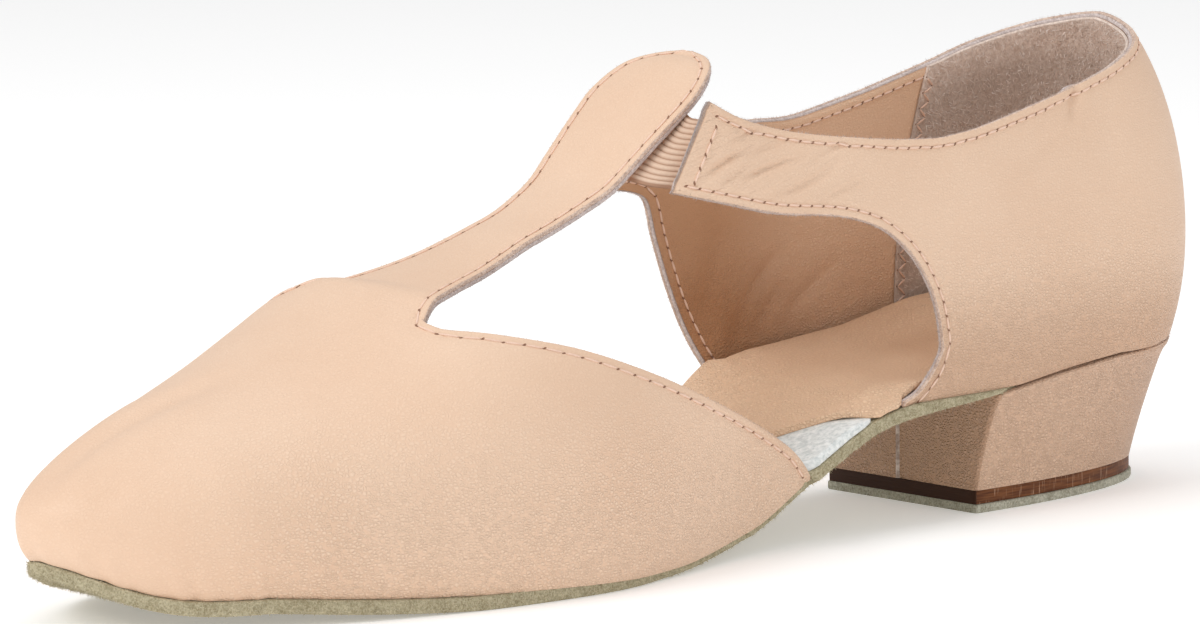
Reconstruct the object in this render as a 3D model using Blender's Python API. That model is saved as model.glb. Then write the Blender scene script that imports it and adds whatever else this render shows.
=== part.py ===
"""Leather dance sandal for a left foot: closed toe, T-strap with a rounded paddle,
cut-out sides, closed heel counter, suede sole and a low covered heel.

The toe points along -X, the outer side of the foot faces -Y and +Z is up.
All sizes are in millimetres and become metres where the meshes are made.
"""

import math
from collections import namedtuple

import bmesh
import bpy
from mathutils import Vector

MM = 0.001
GAP = 0.3  # clearance between curved neighbours
SEAT = 0.05  # clearance between flat neighbours

# Thickness of each layer
VAMP_WALL = 1.7
QUARTER_WALL = 1.8
OUTSOLE_THICK = 2.4
SKIVED_EDGE = 0.4
BOARD_THICK = 2.0
SOCK_THICK = 1.3
ELASTIC_THICK = 1.1
TIP_THICK = 1.5
LIFT_THICK = 2.4

# The last: one row for each cross-section of the foot shape, from toe to heel.
# floor is the underside of the sole, near and far are the half-widths at the sole
# on the outer and the inner side, spine is the sideways place of the crest,
# swell is how far the side bulges beyond the sole, rise is the height of that
# bulge above the sole, ridge is the height of the crest, and full is below 1
# where the shoulders beside the crest are squarer than a quarter of an ellipse.
Section = namedtuple("Section", "x floor near far spine swell rise ridge full")
SECTIONS = (
    Section(-95, 2.5, 21.5, 23.0, 3.5, 2.2, 10, 34.2, 1.0),
    Section(-78, 1.0, 27.0, 29.5, 5.4, 2.5, 11, 40.0, 0.9),
    Section(-67, 0.3, 30.0, 32.3, 7.0, 2.5, 12.3, 44.5, 0.8),
    Section(-58, 0.0, 32.1, 34.0, 7.8, 2.5, 14, 48.6, 0.77),
    Section(-30, 0.0, 33.6, 31.5, 5.0, 2.7, 18, 55.5, 0.9),
    Section(-17, 0.3, 30.4, 27.6, 3.2, 3.0, 21.4, 59, 1.0),
    Section(5, 3.2, 24.3, 22.5, 1.2, 3.5, 27.8, 72.5, 1.0),
    Section(22, 10.5, 22.0, 20.5, 0.0, 3.5, 26.1, 82, 1.0),
    Section(32, 15.6, 22.1, 20.9, 0.0, 3.0, 22.0, 89, 1.0),
    Section(37, 17.6, 22.3, 21.2, 0.0, 2.7, 20.6, 92.5, 1.0),
    Section(42, 18.7, 22.5, 21.5, 0.0, 2.5, 19.8, 96, 1.0),
    Section(62, 21.3, 24.0, 24.0, 0.0, 1.8, 18.5, 104, 1.0),
    Section(68, 22.1, 24.1, 24.2, 0.0, 1.7, 18.0, 104.5, 1.0),
    Section(80, 23.8, 23.9, 24.0, 0.0, 1.8, 18.1, 102.7, 1.0),
    Section(93, 25.1, 23.5, 23.5, 0.0, 2.0, 18.1, 100, 1.0),
)
TOE_X = SECTIONS[0].x
HEEL_X = SECTIONS[-1].x
TOE_REACH = 26.8
TOE_TAPER = 0.33
TOE_SPRING = 6.0
TOE_FALL = 0.3
TOE_DROP = 0.4  # how much lower the bulge lies at the tip of the toe
TOE_FULL = 0.3  # how much fuller the top is at the tip of the toe
TOE_POWER = 2.05
HEEL_REACH = 25.0
HEEL_RISE = 1.4
HEEL_SWELL = 3.4
HEEL_LEAN = 5.5
HEEL_POWER = 2.3
TUCK_POWER = 2.2

# Vamp: height of the wing edge along the foot, from the throat corner to the sole.
THROAT_X = -57.6
THROAT_NEAR = 1.646
THROAT_FAR = 1.77
WingEdge = namedtuple("WingEdge", "x z")
WING_EDGE = (
    WingEdge(-57.6, 44.6),
    WingEdge(-56.6, 43.8),
    WingEdge(-51.6, 43.1),
    WingEdge(-39.4, 40.4),
    WingEdge(-25.0, 35.2),
    WingEdge(-11.7, 29.5),
    WingEdge(5.1, 22.0),
    WingEdge(15.5, 16.6),
    WingEdge(20.6, 13.8),
)
# T-strap: middle line, half-width and crown height.
Strap = namedtuple("Strap", "x mid half crown")
T_STRAP = (
    Strap(-57.6, 1.6, 16.5, 48.2),
    Strap(-57.2, 1.0, 16.0, 48.3),
    Strap(-56.4, 0.7, 15.2, 48.4),
    Strap(-54.5, 0.6, 14.1, 48.6),
    Strap(-51.6, 0.7, 13.1, 49.0),
    Strap(-46.0, 0.9, 11.6, 50.1),
    Strap(-40.0, 1.2, 10.6, 51.5),
    Strap(-34.0, 1.4, 9.6, 53.3),
    Strap(-28.0, 1.6, 8.9, 55.3),
    Strap(-22.0, 1.75, 8.8, 57.3),
    Strap(-17.0, 1.8, 9.3, 59.6),
    Strap(-12.0, 1.85, 10.2, 62.4),
    Strap(-8.0, 1.87, 11.0, 65.9),
    Strap(-4.0, 1.85, 11.7, 69.6),
    Strap(0.0, 1.8, 12.4, 73.2),
    Strap(4.0, 1.7, 12.9, 76.7),
    Strap(11.0, 1.5, 12.8, 81.1),
    Strap(17.5, 1.4, 12.7, 82.4),
)
PADDLE_X = 3.0
PADDLE_REACH = 11.7
STRAP_CROWN = (110.0, 60.0)  # radius across the strap, at the throat and further up
STRAP_FREE_X = -51.0  # from here on the strap keeps its own curve

# Quarter: ankle straps, from the strap end to the body of the counter.
# free is 1 where the strap stands clear of the last and 0 where it lies on it.
AnkleStrap = namedtuple("AnkleStrap", "low_x low_y low_z top_x top_y top_z free")
NEAR_STRAP = (
    AnkleStrap(-5.4, 16.6, 61.0, 3.2, 16.7, 75.6, 1.0),
    AnkleStrap(3.0, 19.9, 59.0, 10.0, 17.4, 72.3, 1.0),
    AnkleStrap(13.4, 22.5, 56.6, 21.2, 19.2, 69.3, 0.6),
    AnkleStrap(25.7, 23.9, 55.2, 33.0, 21.2, 67.7, 0.1),
    AnkleStrap(35.0, 24.5, 52.4, 42.0, 22.2, 66.8, 0.0),
    AnkleStrap(42.8, 24.9, 46.0, 49.5, 22.7, 66.5, 0.0),
    AnkleStrap(47.0, 25.1, 38.3, 54.0, 23.0, 66.9, 0.0),
    AnkleStrap(48.9, 24.6, 30.4, 58.0, 23.1, 67.4, 0.0),
)
FAR_STRAP = (
    AnkleStrap(37.4, 21.5, 20.0, 48.0, 22.6, 66.5, 0.0),
    AnkleStrap(35.5, 22.4, 24.2, 46.5, 22.5, 66.5, 0.0),
    AnkleStrap(32.2, 23.4, 30.6, 43.5, 22.3, 66.7, 0.0),
    AnkleStrap(29.1, 23.9, 37.8, 39.5, 22.0, 67.0, 0.0),
    AnkleStrap(25.5, 23.7, 46.9, 34.0, 21.2, 67.6, 0.1),
    AnkleStrap(22.0, 22.9, 54.8, 27.5, 20.3, 68.4, 0.4),
    AnkleStrap(14.4, 20.8, 57.0, 20.5, 18.4, 69.0, 0.8),
    AnkleStrap(5.0, 17.4, 58.0, 12.0, 16.4, 70.4, 1.0),
    AnkleStrap(-2.6, 14.0, 59.2, 4.8, 14.4, 71.2, 1.0),
)
# Front tip of the counter under the near cut-out: place along the sole, and the
# cut edge above it.
CutFoot = namedtuple("CutFoot", "foot_x cut_x cut_z")
CUT_FOOT = (
    CutFoot(41.6, 42.0, 21.9),
    CutFoot(43.6, 45.0, 23.2),
    CutFoot(45.6, 47.7, 26.2),
    CutFoot(47.0, 48.9, 30.4),
)
# Topline: height of the collar edge along the path round the heel.
Topline = namedtuple("Topline", "path z")
HEEL_TURN = 36.0  # length of path given to each quarter turn at the heel
BACK = HEEL_X + HEEL_TURN
TOPLINE = (
    Topline(58, 67.4),
    Topline(64, 68.6),
    Topline(79.5, 72.0),
    Topline(90, 74.6),
    Topline(BACK - 30, 77.2),
    Topline(BACK - 12, 81.2),
    Topline(BACK, 82.5),
    Topline(BACK + 12, 81.2),
    Topline(BACK + 30, 76.8),
    Topline(2 * BACK - 88, 73.3),
    Topline(2 * BACK - 70, 68.6),
    Topline(2 * BACK - 55, 66.2),
    Topline(2 * BACK - 48, 66.5),
)
BODY_FOOT = (47.0, 2 * BACK - 38.0)
BODY_TOP = (58.0, 2 * BACK - 48.0)
SPLIT_Z = (30.4, 36.0)

# Elastic band: one row for each place across the foot, from the near strap to the far one.
Band = namedtuple("Band", "y top_x top_z low_x low_z")
ELASTIC = (
    Band(-15.0, 4.6, 72.4, -1.8, 61.3),
    Band(-12.0, 3.4, 72.6, -5.4, 61.9),
    Band(-7.5, 5.0, 73.8, -7.0, 62.9),
    Band(0.0, 6.8, 76.0, -7.0, 63.9),
    Band(7.0, 5.0, 74.0, -6.6, 62.6),
    Band(12.0, 2.4, 70.4, -4.9, 60.0),
)

# Bare part of the board at the cut-outs, and the front end of the sock.
BARE_NEAR = (22.0, 26.0, 33.5, 38.0)
BARE_FAR = (22.0, 26.0, 32.0, 36.6)
INSET = 2.4  # upper wall and clearance, inside the sole's outline
SockEnd = namedtuple("SockEnd", "x near far")
SOCK_END = (
    SockEnd(12.0, -9.5, 11.5),
    SockEnd(12.6, -7.6, 14.0),
    SockEnd(14.5, -4.6, 16.4),
    SockEnd(18.0, -0.4, 18.0),
    SockEnd(24.3, 8.5, 18.8),
    SockEnd(29.0, 18.0, 19.6),
    SockEnd(31.0, 21.4, 19.9),
    SockEnd(33.0, 22.0, 20.2),
)

# Heel block
BREAST_X = 62.6
HEEL_BOTTOM_HALF = 18.6
HEEL_BOTTOM_BACK = 115.0
HEEL_TOP_HALF = 24.2
HEEL_TOP_BACK = 117.0
HEEL_BOTTOM_POWER = 2.2
HEEL_TOP_POWER = 3.3
HEEL_HOLLOW = 1.35  # above 1 the sides and back curve inward
THINNING_X = 44.0  # the outsole gets thinner from here
SKIVE_X = 68.0  # the outsole runs out here on top of the heel
HeelRing = namedtuple("HeelRing", "level bead")
HEEL_RINGS = (
    HeelRing(0.0, 0.0),
    HeelRing(0.2, 0.0),
    HeelRing(0.4, 0.0),
    HeelRing(0.6, 0.0),
    HeelRing(0.8, 0.0),
    HeelRing(0.9, 0.15),
    HeelRing(0.95, 0.5),
    HeelRing(0.985, 0.5),
    HeelRing(1.0, 0.1),
)

# Middle of the whole shoe's box, so that the origin lies under it
MIDDLE_X = -1.007
MIDDLE_Y = 0.858


def through(rows, key, name, level=True):
    """A smooth function through one column of a table. With level it never overshoots."""
    xs = [getattr(row, key) for row in rows]
    ys = [getattr(row, name) for row in rows]
    steps = [b - a for a, b in zip(xs, xs[1:])]
    rates = [(b - a) / h for a, b, h in zip(ys, ys[1:], steps)]
    slopes = [rates[0]]
    for before, after, h0, h1 in zip(rates, rates[1:], steps, steps[1:]):
        if not level:
            slopes.append((h1 * before + h0 * after) / (h0 + h1))
        elif before * after <= 0:
            slopes.append(0.0)
        else:
            w0 = 2 * h1 + h0
            w1 = h1 + 2 * h0
            slopes.append((w0 + w1) / (w0 / before + w1 / after))
    slopes.append(rates[-1])

    def value(x):
        x = min(max(x, xs[0]), xs[-1])
        k = 0
        while k < len(steps) - 1 and x > xs[k + 1]:
            k += 1
        t = (x - xs[k]) / steps[k]
        rest = 1 - t
        return (
            (1 + 2 * t) * rest * rest * ys[k]
            + t * rest * rest * steps[k] * slopes[k]
            + t * t * (3 - 2 * t) * ys[k + 1]
            - t * t * rest * steps[k] * slopes[k + 1]
        )

    return value


def along(rows):
    """All columns of a table as smooth functions of the row number from 0 to 1."""
    Numbered = namedtuple("Numbered", ("row",) + rows[0]._fields)
    last = len(rows) - 1
    numbered = [Numbered(i / last, *row) for i, row in enumerate(rows)]
    return {name: through(numbered, "row", name) for name in rows[0]._fields}


def mix(a, b, t):
    return a + (b - a) * t


def ease(a, b, x):
    t = min(max((x - a) / (b - a), 0.0), 1.0)
    return t * t * (3 - 2 * t)


def fractions(count):
    return [i / count for i in range(count + 1)]


LAST = {name: through(SECTIONS, "x", name, name == "floor") for name in Section._fields[1:]}
Rib = namedtuple("Rib", "x y out_x out_y foot wide sole widest ridge fall full")


def sole_thick(x):
    return mix(OUTSOLE_THICK, SKIVED_EDGE, min(max((x - THINNING_X) / (SKIVE_X - THINNING_X), 0), 1))


def turned_reach(half, reach, taper, power, ahead, across):
    """Distance from the middle of the toe or heel to its outline, in a turned direction."""
    low = 0.0
    high = half + reach
    for _ in range(40):
        out = (low + high) / 2
        far = min(out * ahead / reach, 1.0)
        edge = (half - taper * out * ahead) * (1 - far**power) ** (1 / power)
        if out * across < edge or (across < 1e-6 and out < reach):
            low = out
        else:
            high = out
    return low


def rib(side, x, turn=0.0):
    """One upright section of the last: straight across, or turned round the toe or the heel."""
    spine = LAST["spine"](x)
    foot = LAST["near"](x) + spine if side < 0 else LAST["far"](x) - spine
    swell = LAST["swell"](x)
    sole = LAST["floor"](x) + sole_thick(x)
    rise = LAST["rise"](x)
    ridge = LAST["ridge"](x)
    fall = 0.0
    full = LAST["full"](x)
    ahead = math.sin(turn * math.pi / 2)
    across = math.cos(turn * math.pi / 2)
    forward = -1.0 if x < 0 else 1.0
    if turn > 0:
        reach = TOE_REACH if x < 0 else HEEL_REACH
        power = TOE_POWER if x < 0 else HEEL_POWER
        taper = TOE_TAPER if x < 0 else 0.0
        foot = turned_reach(foot, reach, taper, power, ahead, across)
        if x < 0:
            sole += TOE_SPRING * ahead**4 * foot / reach
            rise *= 1 - TOE_DROP * ahead**2
            fall = TOE_FALL * ahead
            full -= TOE_FULL * ahead
        else:
            sole += HEEL_RISE * ahead**2 * foot / reach
            swell = mix(swell, HEEL_SWELL, ahead**2)
            ridge -= HEEL_LEAN * (ahead**2 + 1.6 * ahead * across)
    out = (forward * ahead, side * across)
    return Rib(x, spine, *out, foot, foot + swell, sole, sole + rise, ridge, fall, full)


def on_rib(r, h):
    """Point on a rib: h is 0 at the sole, 1 at the widest place and 2 on the crest."""
    if h < 1:
        out = r.wide - (r.wide - r.foot) * (1 - h) ** TUCK_POWER
        z = mix(r.sole, r.widest, h)
    else:
        angle = min(h - 1, 1.0) * math.pi / 2
        out = r.wide * math.cos(angle)
        z = r.widest + (r.ridge - r.fall * out - r.widest) * math.sin(angle) ** r.full
    return Vector((r.x + r.out_x * out, r.y + r.out_y * out, z))


def h_at(r, z):
    """The place on a rib that has height z."""
    if z < r.widest:
        return max((z - r.sole) / (r.widest - r.sole), 0.0)
    rise = min((z - r.widest) / (r.ridge - r.widest), 0.999) ** (1 / r.full)
    return 1 + math.asin(rise) * 2 / math.pi


def heel_path(path):
    """The rib at a length of path that runs from the near side round the heel to the far side."""
    if path <= HEEL_X:
        return rib(-1, path)
    if path <= BACK:
        return rib(-1, HEEL_X, (path - HEEL_X) / HEEL_TURN)
    if path <= BACK + HEEL_TURN:
        return rib(1, HEEL_X, 1 - (path - BACK) / HEEL_TURN)
    return rib(1, 2 * BACK - path)


class Skin:
    """Grids of points that become one mesh."""

    def __init__(self):
        self.points = []
        self.faces = []

    def grid(self, rows):
        start = len(self.points)
        wide = len(rows[0])
        for row in rows:
            self.points.extend(row)
        for i in range(len(rows) - 1):
            for j in range(wide - 1):
                a = start + i * wide + j
                self.faces.append((a, a + 1, a + wide + 1, a + wide))

    def loop(self, rings, cap_first=True, cap_last=True):
        start = len(self.points)
        wide = len(rings[0])
        for ring in rings:
            self.points.extend(ring)
        for i in range(len(rings) - 1):
            for j in range(wide):
                a = start + i * wide + j
                b = start + i * wide + (j + 1) % wide
                self.faces.append((a, b, b + wide, a + wide))
        if cap_first:
            self.faces.append(tuple(reversed(range(start, start + wide))))
        if cap_last:
            end = start + (len(rings) - 1) * wide
            self.faces.append(tuple(range(end, end + wide)))

    def build(self, name, material, inside=None):
        """Makes the object. inside is a point that an open sheet faces away from."""
        mesh = bpy.data.meshes.new(name)
        middle = Vector((MIDDLE_X, MIDDLE_Y, 0.0))
        mesh.from_pydata([(p - middle) * MM for p in self.points], [], self.faces)
        shape = bmesh.new()
        shape.from_mesh(mesh)
        bmesh.ops.remove_doubles(shape, verts=shape.verts, dist=1e-3 * MM)
        bmesh.ops.dissolve_degenerate(shape, edges=shape.edges, dist=1e-3 * MM)
        bmesh.ops.recalc_face_normals(shape, faces=shape.faces)
        if inside is not None:
            centre = (inside - middle) * MM
            facing = sum(f.normal.dot(f.calc_center_median() - centre) * f.calc_area() for f in shape.faces)
            if facing < 0:
                bmesh.ops.reverse_faces(shape, faces=shape.faces)
        shape.to_mesh(mesh)
        shape.free()
        mesh.materials.append(material)
        piece = bpy.data.objects.new(name, mesh)
        bpy.context.scene.collection.objects.link(piece)
        piece.parent = sandal
        return piece


def add_wall(piece, thick):
    """Gives an open sheet its thickness, towards the foot."""
    wall = piece.modifiers.new("Wall", "SOLIDIFY")
    wall.thickness = thick * MM
    wall.offset = -1.0
    wall.use_even_offset = True
    wall.use_quality_normals = True
    wall.use_rim = True


def coloured(name, colour, roughness):
    material = bpy.data.materials.new(name)
    material.use_nodes = True
    shader = material.node_tree.nodes["Principled BSDF"]
    shader.inputs["Base Color"].default_value = (*colour, 1.0)
    shader.inputs["Roughness"].default_value = roughness
    material.diffuse_color = (*colour, 1.0)
    return material


def lifted(r, gap):
    return r._replace(sole=r.sole + gap)


def vamp_skin(front=11, turn=9, low=9, top=5, wing=15, strap=18, paddle=6):
    """Toe and wings on the last, and the strap on its own curve."""
    skin = Skin()
    ribs = []
    for t in fractions(front):
        ribs.append((rib(-1, mix(THROAT_X, TOE_X, t)), THROAT_NEAR))
    for t in fractions(turn)[1:]:
        ribs.append((rib(-1, TOE_X, t), mix(THROAT_NEAR, THROAT_FAR, t / 2)))
    for t in fractions(turn)[1:]:
        ribs.append((rib(1, TOE_X, 1 - t), mix(THROAT_NEAR, THROAT_FAR, 0.5 + t / 2)))
    for t in fractions(front)[1:]:
        ribs.append((rib(1, mix(TOE_X, THROAT_X, t)), THROAT_FAR))
    rows = []
    for r, throat in ribs:
        r = lifted(r, GAP)
        levels = [throat * t for t in fractions(low)]
        levels += [mix(throat, 2.0, t) for t in fractions(top)[1:]]
        rows.append([on_rib(r, h) for h in levels])
    skin.grid(rows)
    edge = along(WING_EDGE)
    for side, throat in ((-1, THROAT_NEAR), (1, THROAT_FAR)):
        rows = []
        for t in fractions(wing):
            r = lifted(rib(side, edge["x"](t)), GAP)
            reach = throat if t == 0 else h_at(r, edge["z"](t))
            reach = mix(reach, throat, (1 - ease(0.0, 0.12, t)) if side > 0 else 0.0)
            rows.append([on_rib(r, reach * f) for f in fractions(low)])
        skin.grid(rows)
    near_rib = lifted(rib(-1, THROAT_X), GAP)
    far_rib = lifted(rib(1, THROAT_X), GAP)
    first = [on_rib(near_rib, mix(THROAT_NEAR, 2.0, t)) for t in fractions(top)]
    first += [on_rib(far_rib, mix(2.0, THROAT_FAR, t)) for t in fractions(top)[1:]]
    mid = (first[0].y + first[-1].y) / 2
    half = (first[-1].y - first[0].y) / 2
    across = [(p.y - mid) / half for p in first]
    rows = [first]
    shape = {name: through(T_STRAP, "x", name) for name in ("mid", "half", "crown")}
    places = [(mix(THROAT_X, PADDLE_X, t**1.6), 1.0) for t in fractions(strap)[1:]]
    for t in fractions(paddle)[1:]:
        angle = t * math.pi / 2
        places.append((PADDLE_X + PADDLE_REACH * math.sin(angle), math.cos(angle) ** 0.9))
    for x, width in places:
        row = []
        for q in across:
            y = shape["mid"](x) + shape["half"](x) * width * q
            radius = mix(*STRAP_CROWN, ease(-56, -34, x))
            own = shape["crown"](x) - (y - shape["mid"](x)) ** 2 / (2 * radius)
            free = ease(THROAT_X, STRAP_FREE_X, x)
            if free < 1:
                r = rib(-1 if y < LAST["spine"](x) else 1, x)
                fall = min(abs(y - r.y) / r.wide, 1.0)
                lying = r.widest + (r.ridge - r.widest) * math.sqrt(1 - fall * fall) ** r.full
                own = mix(lying, own, free)
            row.append(Vector((x, y, own)))
        rows.append(row)
    skin.grid(rows)
    return skin


def strap_rows(table, side, steps, levels):
    """Ribs of an ankle strap, from the first row of its table to the last."""
    column = along(table)
    rows = []
    for t in steps:
        place = {name: value(t) for name, value in column.items()}
        row = []
        for v in levels:
            x = mix(place["low_x"], place["top_x"], v)
            z = mix(place["low_z"], place["top_z"], v)
            y = side * mix(place["low_y"], place["top_y"], v)
            r = rib(side, x)
            lying = on_rib(r, h_at(r, z))
            row.append(lying.lerp(Vector((x, y, z)), place["free"]))
        rows.append(row)
    return rows


def joined(rows, end, reach):
    """Bends the last rows of a panel so that they meet its neighbour's edge."""
    shift = [b - a for a, b in zip(rows[-1], end)]
    last = len(rows) - 1
    bent = []
    for i, row in enumerate(rows):
        share = ease(1 - reach, 1, i / last)
        bent.append([p + d * share for p, d in zip(row, shift)])
    bent[-1] = end
    return bent


def quarter_skin(strap=16, body=34, low=4, high=8, foot=5):
    skin = Skin()
    topline = through(TOPLINE, "path", "z")
    rows = []
    for k in fractions(body):
        at_foot = mix(*BODY_FOOT, k)
        at_top = mix(*BODY_TOP, k)
        foot_z = heel_path(at_foot).sole + GAP
        top_z = topline(at_top)
        split = mix(*SPLIT_Z, k)
        heights = [mix(foot_z, split, t) for t in fractions(low)]
        heights += [mix(split, top_z, t) for t in fractions(high)[1:]]
        row = []
        for z in heights:
            r = heel_path(mix(at_foot, at_top, (z - foot_z) / (top_z - foot_z)))
            row.append(on_rib(r, h_at(r, z)))
        rows.append(row)
    skin.grid(rows)
    near = strap_rows(NEAR_STRAP, -1, fractions(strap), fractions(high))
    skin.grid(joined(near, rows[0][low:], 0.3))
    heights = [p.z for p in rows[-1]]
    levels = [(z - heights[0]) / (heights[-1] - heights[0]) for z in heights]
    far = strap_rows(FAR_STRAP, 1, fractions(strap + 4), levels)
    skin.grid(joined(far[::-1], rows[-1], 0.2))
    cut = along(CUT_FOOT)
    tip = []
    for t in fractions(foot):
        foot_x = cut["foot_x"](t)
        foot_z = rib(-1, foot_x).sole + GAP
        row = []
        for v in fractions(low):
            r = rib(-1, mix(foot_x, cut["cut_x"](t), v))
            row.append(on_rib(r, h_at(r, mix(foot_z, cut["cut_z"](t), v))))
        tip.append(row)
    skin.grid(joined(tip, rows[0][: low + 1], 0.7))
    return skin


def sole_ribs(step=2.0, turn=10):
    """Pairs of near and far ribs from the toe tip to the heel back."""
    pairs = [(rib(-1, TOE_X, t), rib(1, TOE_X, t)) for t in reversed(fractions(turn)[1:])]
    count = round((HEEL_X - TOE_X) / step)
    pairs += [(rib(-1, x), rib(1, x)) for x in [mix(TOE_X, HEEL_X, t) for t in fractions(count)]]
    pairs += [(rib(-1, HEEL_X, t), rib(1, HEEL_X, t)) for t in fractions(turn)[1:]]
    return pairs


def outline(r, inset):
    out = r.foot - inset
    return r.x + r.out_x * out, r.y + r.out_y * out


def slab(stations):
    """A closed layer from stations of (near x y, far x y, undersides, tops), in order along the foot."""
    skin = Skin()
    rings = []
    for near, far, bottom, top in stations:
        rings.append(
            [
                Vector((*near, bottom[0])),
                Vector((*far, bottom[1])),
                Vector((*far, top[1])),
                Vector((*near, top[0])),
            ]
        )
    skin.loop(rings)
    return skin


def outsole_skin():
    stations = []
    for near, far in sole_ribs():
        if near.x + near.out_x * near.foot > SKIVE_X:
            continue
        tops = (near.sole, far.sole)
        bottoms = tuple(r.sole - sole_thick(r.x) for r in (near, far))
        stations.append((outline(near, -0.6), outline(far, -0.6), bottoms, tops))
    return slab(stations)


def bare(x, zone):
    """1 inside the upper and 0 where a cut-out leaves the board's edge bare."""
    return 1 - ease(zone[0], zone[1], x) * (1 - ease(zone[2], zone[3], x))


def board_inset(r, side):
    if r.out_x != 0:
        return INSET
    return mix(-0.3, INSET, bare(r.x, BARE_NEAR if side < 0 else BARE_FAR))


def insole_skin():
    stations = []
    for near, far in sole_ribs():
        edges = outline(near, board_inset(near, -1)), outline(far, board_inset(far, 1))
        bottoms = (near.sole + SEAT, far.sole + SEAT)
        tops = (near.sole + BOARD_THICK, far.sole + BOARD_THICK)
        stations.append((*edges, bottoms, tops))
    return slab(stations)


def sock_skin():
    front = {name: through(SOCK_END, "x", name) for name in ("near", "far")}
    first = SOCK_END[0].x
    ending = SOCK_END[-1].x
    stations = []
    for x in [mix(first, ending, t**1.5) for t in fractions(16)]:
        z = LAST["floor"](x) + OUTSOLE_THICK + BOARD_THICK + SEAT
        edges = (x, -front["near"](x)), (x, front["far"](x))
        stations.append((*edges, (z, z), (z + SOCK_THICK, z + SOCK_THICK)))
    for near, far in sole_ribs(step=3.0, turn=8):
        if near.x <= ending or near.out_x < 0:
            continue
        edges = []
        for r, side in ((near, -1), (far, 1)):
            edges.append(outline(r, max(board_inset(r, side) + 0.5, 0.4)))
        z = near.sole + BOARD_THICK + SEAT
        far_z = far.sole + BOARD_THICK + SEAT
        stations.append((*edges, (z, far_z), (z + SOCK_THICK, far_z + SOCK_THICK)))
    return slab(stations)


def heel_ring(level, bead, z_at, count=28):
    shape = level**HEEL_HOLLOW
    half = mix(HEEL_BOTTOM_HALF, HEEL_TOP_HALF, shape) + bead
    back = mix(HEEL_BOTTOM_BACK, HEEL_TOP_BACK, shape) + bead
    power = mix(HEEL_BOTTOM_POWER, HEEL_TOP_POWER, level)
    ring = []
    for t in fractions(count):
        angle = t * math.pi
        x = BREAST_X + (back - BREAST_X) * abs(math.sin(angle)) ** (2 / power)
        side = abs(math.cos(angle)) ** (2 / power)
        y = -half * math.copysign(side, math.cos(angle))
        ring.append(Vector((x, y, z_at(x))))
    return ring


def heel_skin():
    under = TIP_THICK + LIFT_THICK + SEAT
    seat = through(SECTIONS, "x", "floor")

    def seat_z(x):
        if x <= HEEL_X:
            return seat(x) - SEAT
        return seat(HEEL_X) + HEEL_RISE * ((x - HEEL_X) / HEEL_REACH) ** 1.5 - SEAT

    rings = []
    for row in HEEL_RINGS:
        rings.append(heel_ring(row.level, row.bead, lambda x: mix(under, seat_z(x), row.level)))
    skin = Skin()
    skin.loop(rings)
    return skin


def flat_layer(low, high, grow):
    skin = Skin()
    skin.loop([heel_ring(0.0, grow, lambda x: low), heel_ring(0.0, grow, lambda x: high)])
    return skin


def elastic_skin(across=16, along_band=4):
    column = {name: through(ELASTIC, "y", name, False) for name in Band._fields[1:]}
    skin = Skin()
    rows = []
    for t in fractions(across):
        y = mix(ELASTIC[0].y, ELASTIC[-1].y, t)
        low = Vector((column["low_x"](y), y, column["low_z"](y)))
        top = Vector((column["top_x"](y), y, column["top_z"](y)))
        rows.append([low.lerp(top, v) for v in fractions(along_band)])
    skin.grid(rows)
    return skin


for old in list(bpy.data.objects):
    bpy.data.objects.remove(old, do_unlink=True)

sandal = bpy.data.objects.new("dance_sandal", None)
bpy.context.scene.collection.objects.link(sandal)

leather = (0.80, 0.57, 0.43)
foot_middle = Vector((0.0, 0.0, 30.0))

outsole_skin().build("outsole", coloured("sole_suede", (0.40, 0.35, 0.22), 0.95))
insole_skin().build("insole", coloured("fibre_board", (0.73, 0.75, 0.72), 0.9))
sock_skin().build("sock", coloured("sock_leather", (0.62, 0.40, 0.25), 0.6))
heel_skin().build("heel", coloured("heel_leather", (0.72, 0.50, 0.37), 0.5))
lift = flat_layer(TIP_THICK + SEAT, TIP_THICK + LIFT_THICK, -0.1)
lift.build("heel_lift", coloured("lift_brown", (0.16, 0.06, 0.025), 0.5))
tip = flat_layer(0.0, TIP_THICK, 0.3)
tip.build("heel_tip", coloured("tip_suede", (0.42, 0.39, 0.29), 0.95))
vamp = vamp_skin().build("vamp", coloured("vamp_leather", leather, 0.5), foot_middle)
add_wall(vamp, VAMP_WALL)
quarter = quarter_skin().build("quarter", coloured("quarter_leather", leather, 0.5), Vector((75, 0, 40)))
add_wall(quarter, QUARTER_WALL)
band = elastic_skin().build("elastic", coloured("elastic_web", (0.60, 0.46, 0.32), 0.8), foot_middle)
add_wall(band, ELASTIC_THICK)
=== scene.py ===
# %% [markdown]
# # A leather dance sandal, one left shoe
# The measured solids of the shoe come in first, as a fixed frame in metres. Each
# solid is then replaced by a finer piece that follows the same shape, because leather
# needs rounded edges, creases, stitches and nap that plain solids leave out. One frame
# for both means that nothing has to be fitted by eye.

# %% Load the measured solids
import math
from bisect import bisect_left
from collections import namedtuple

import bmesh
import bpy
import numpy as np
from mathutils import Matrix, Vector
from mathutils.bvhtree import BVHTree
from mathutils.kdtree import KDTree


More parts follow.
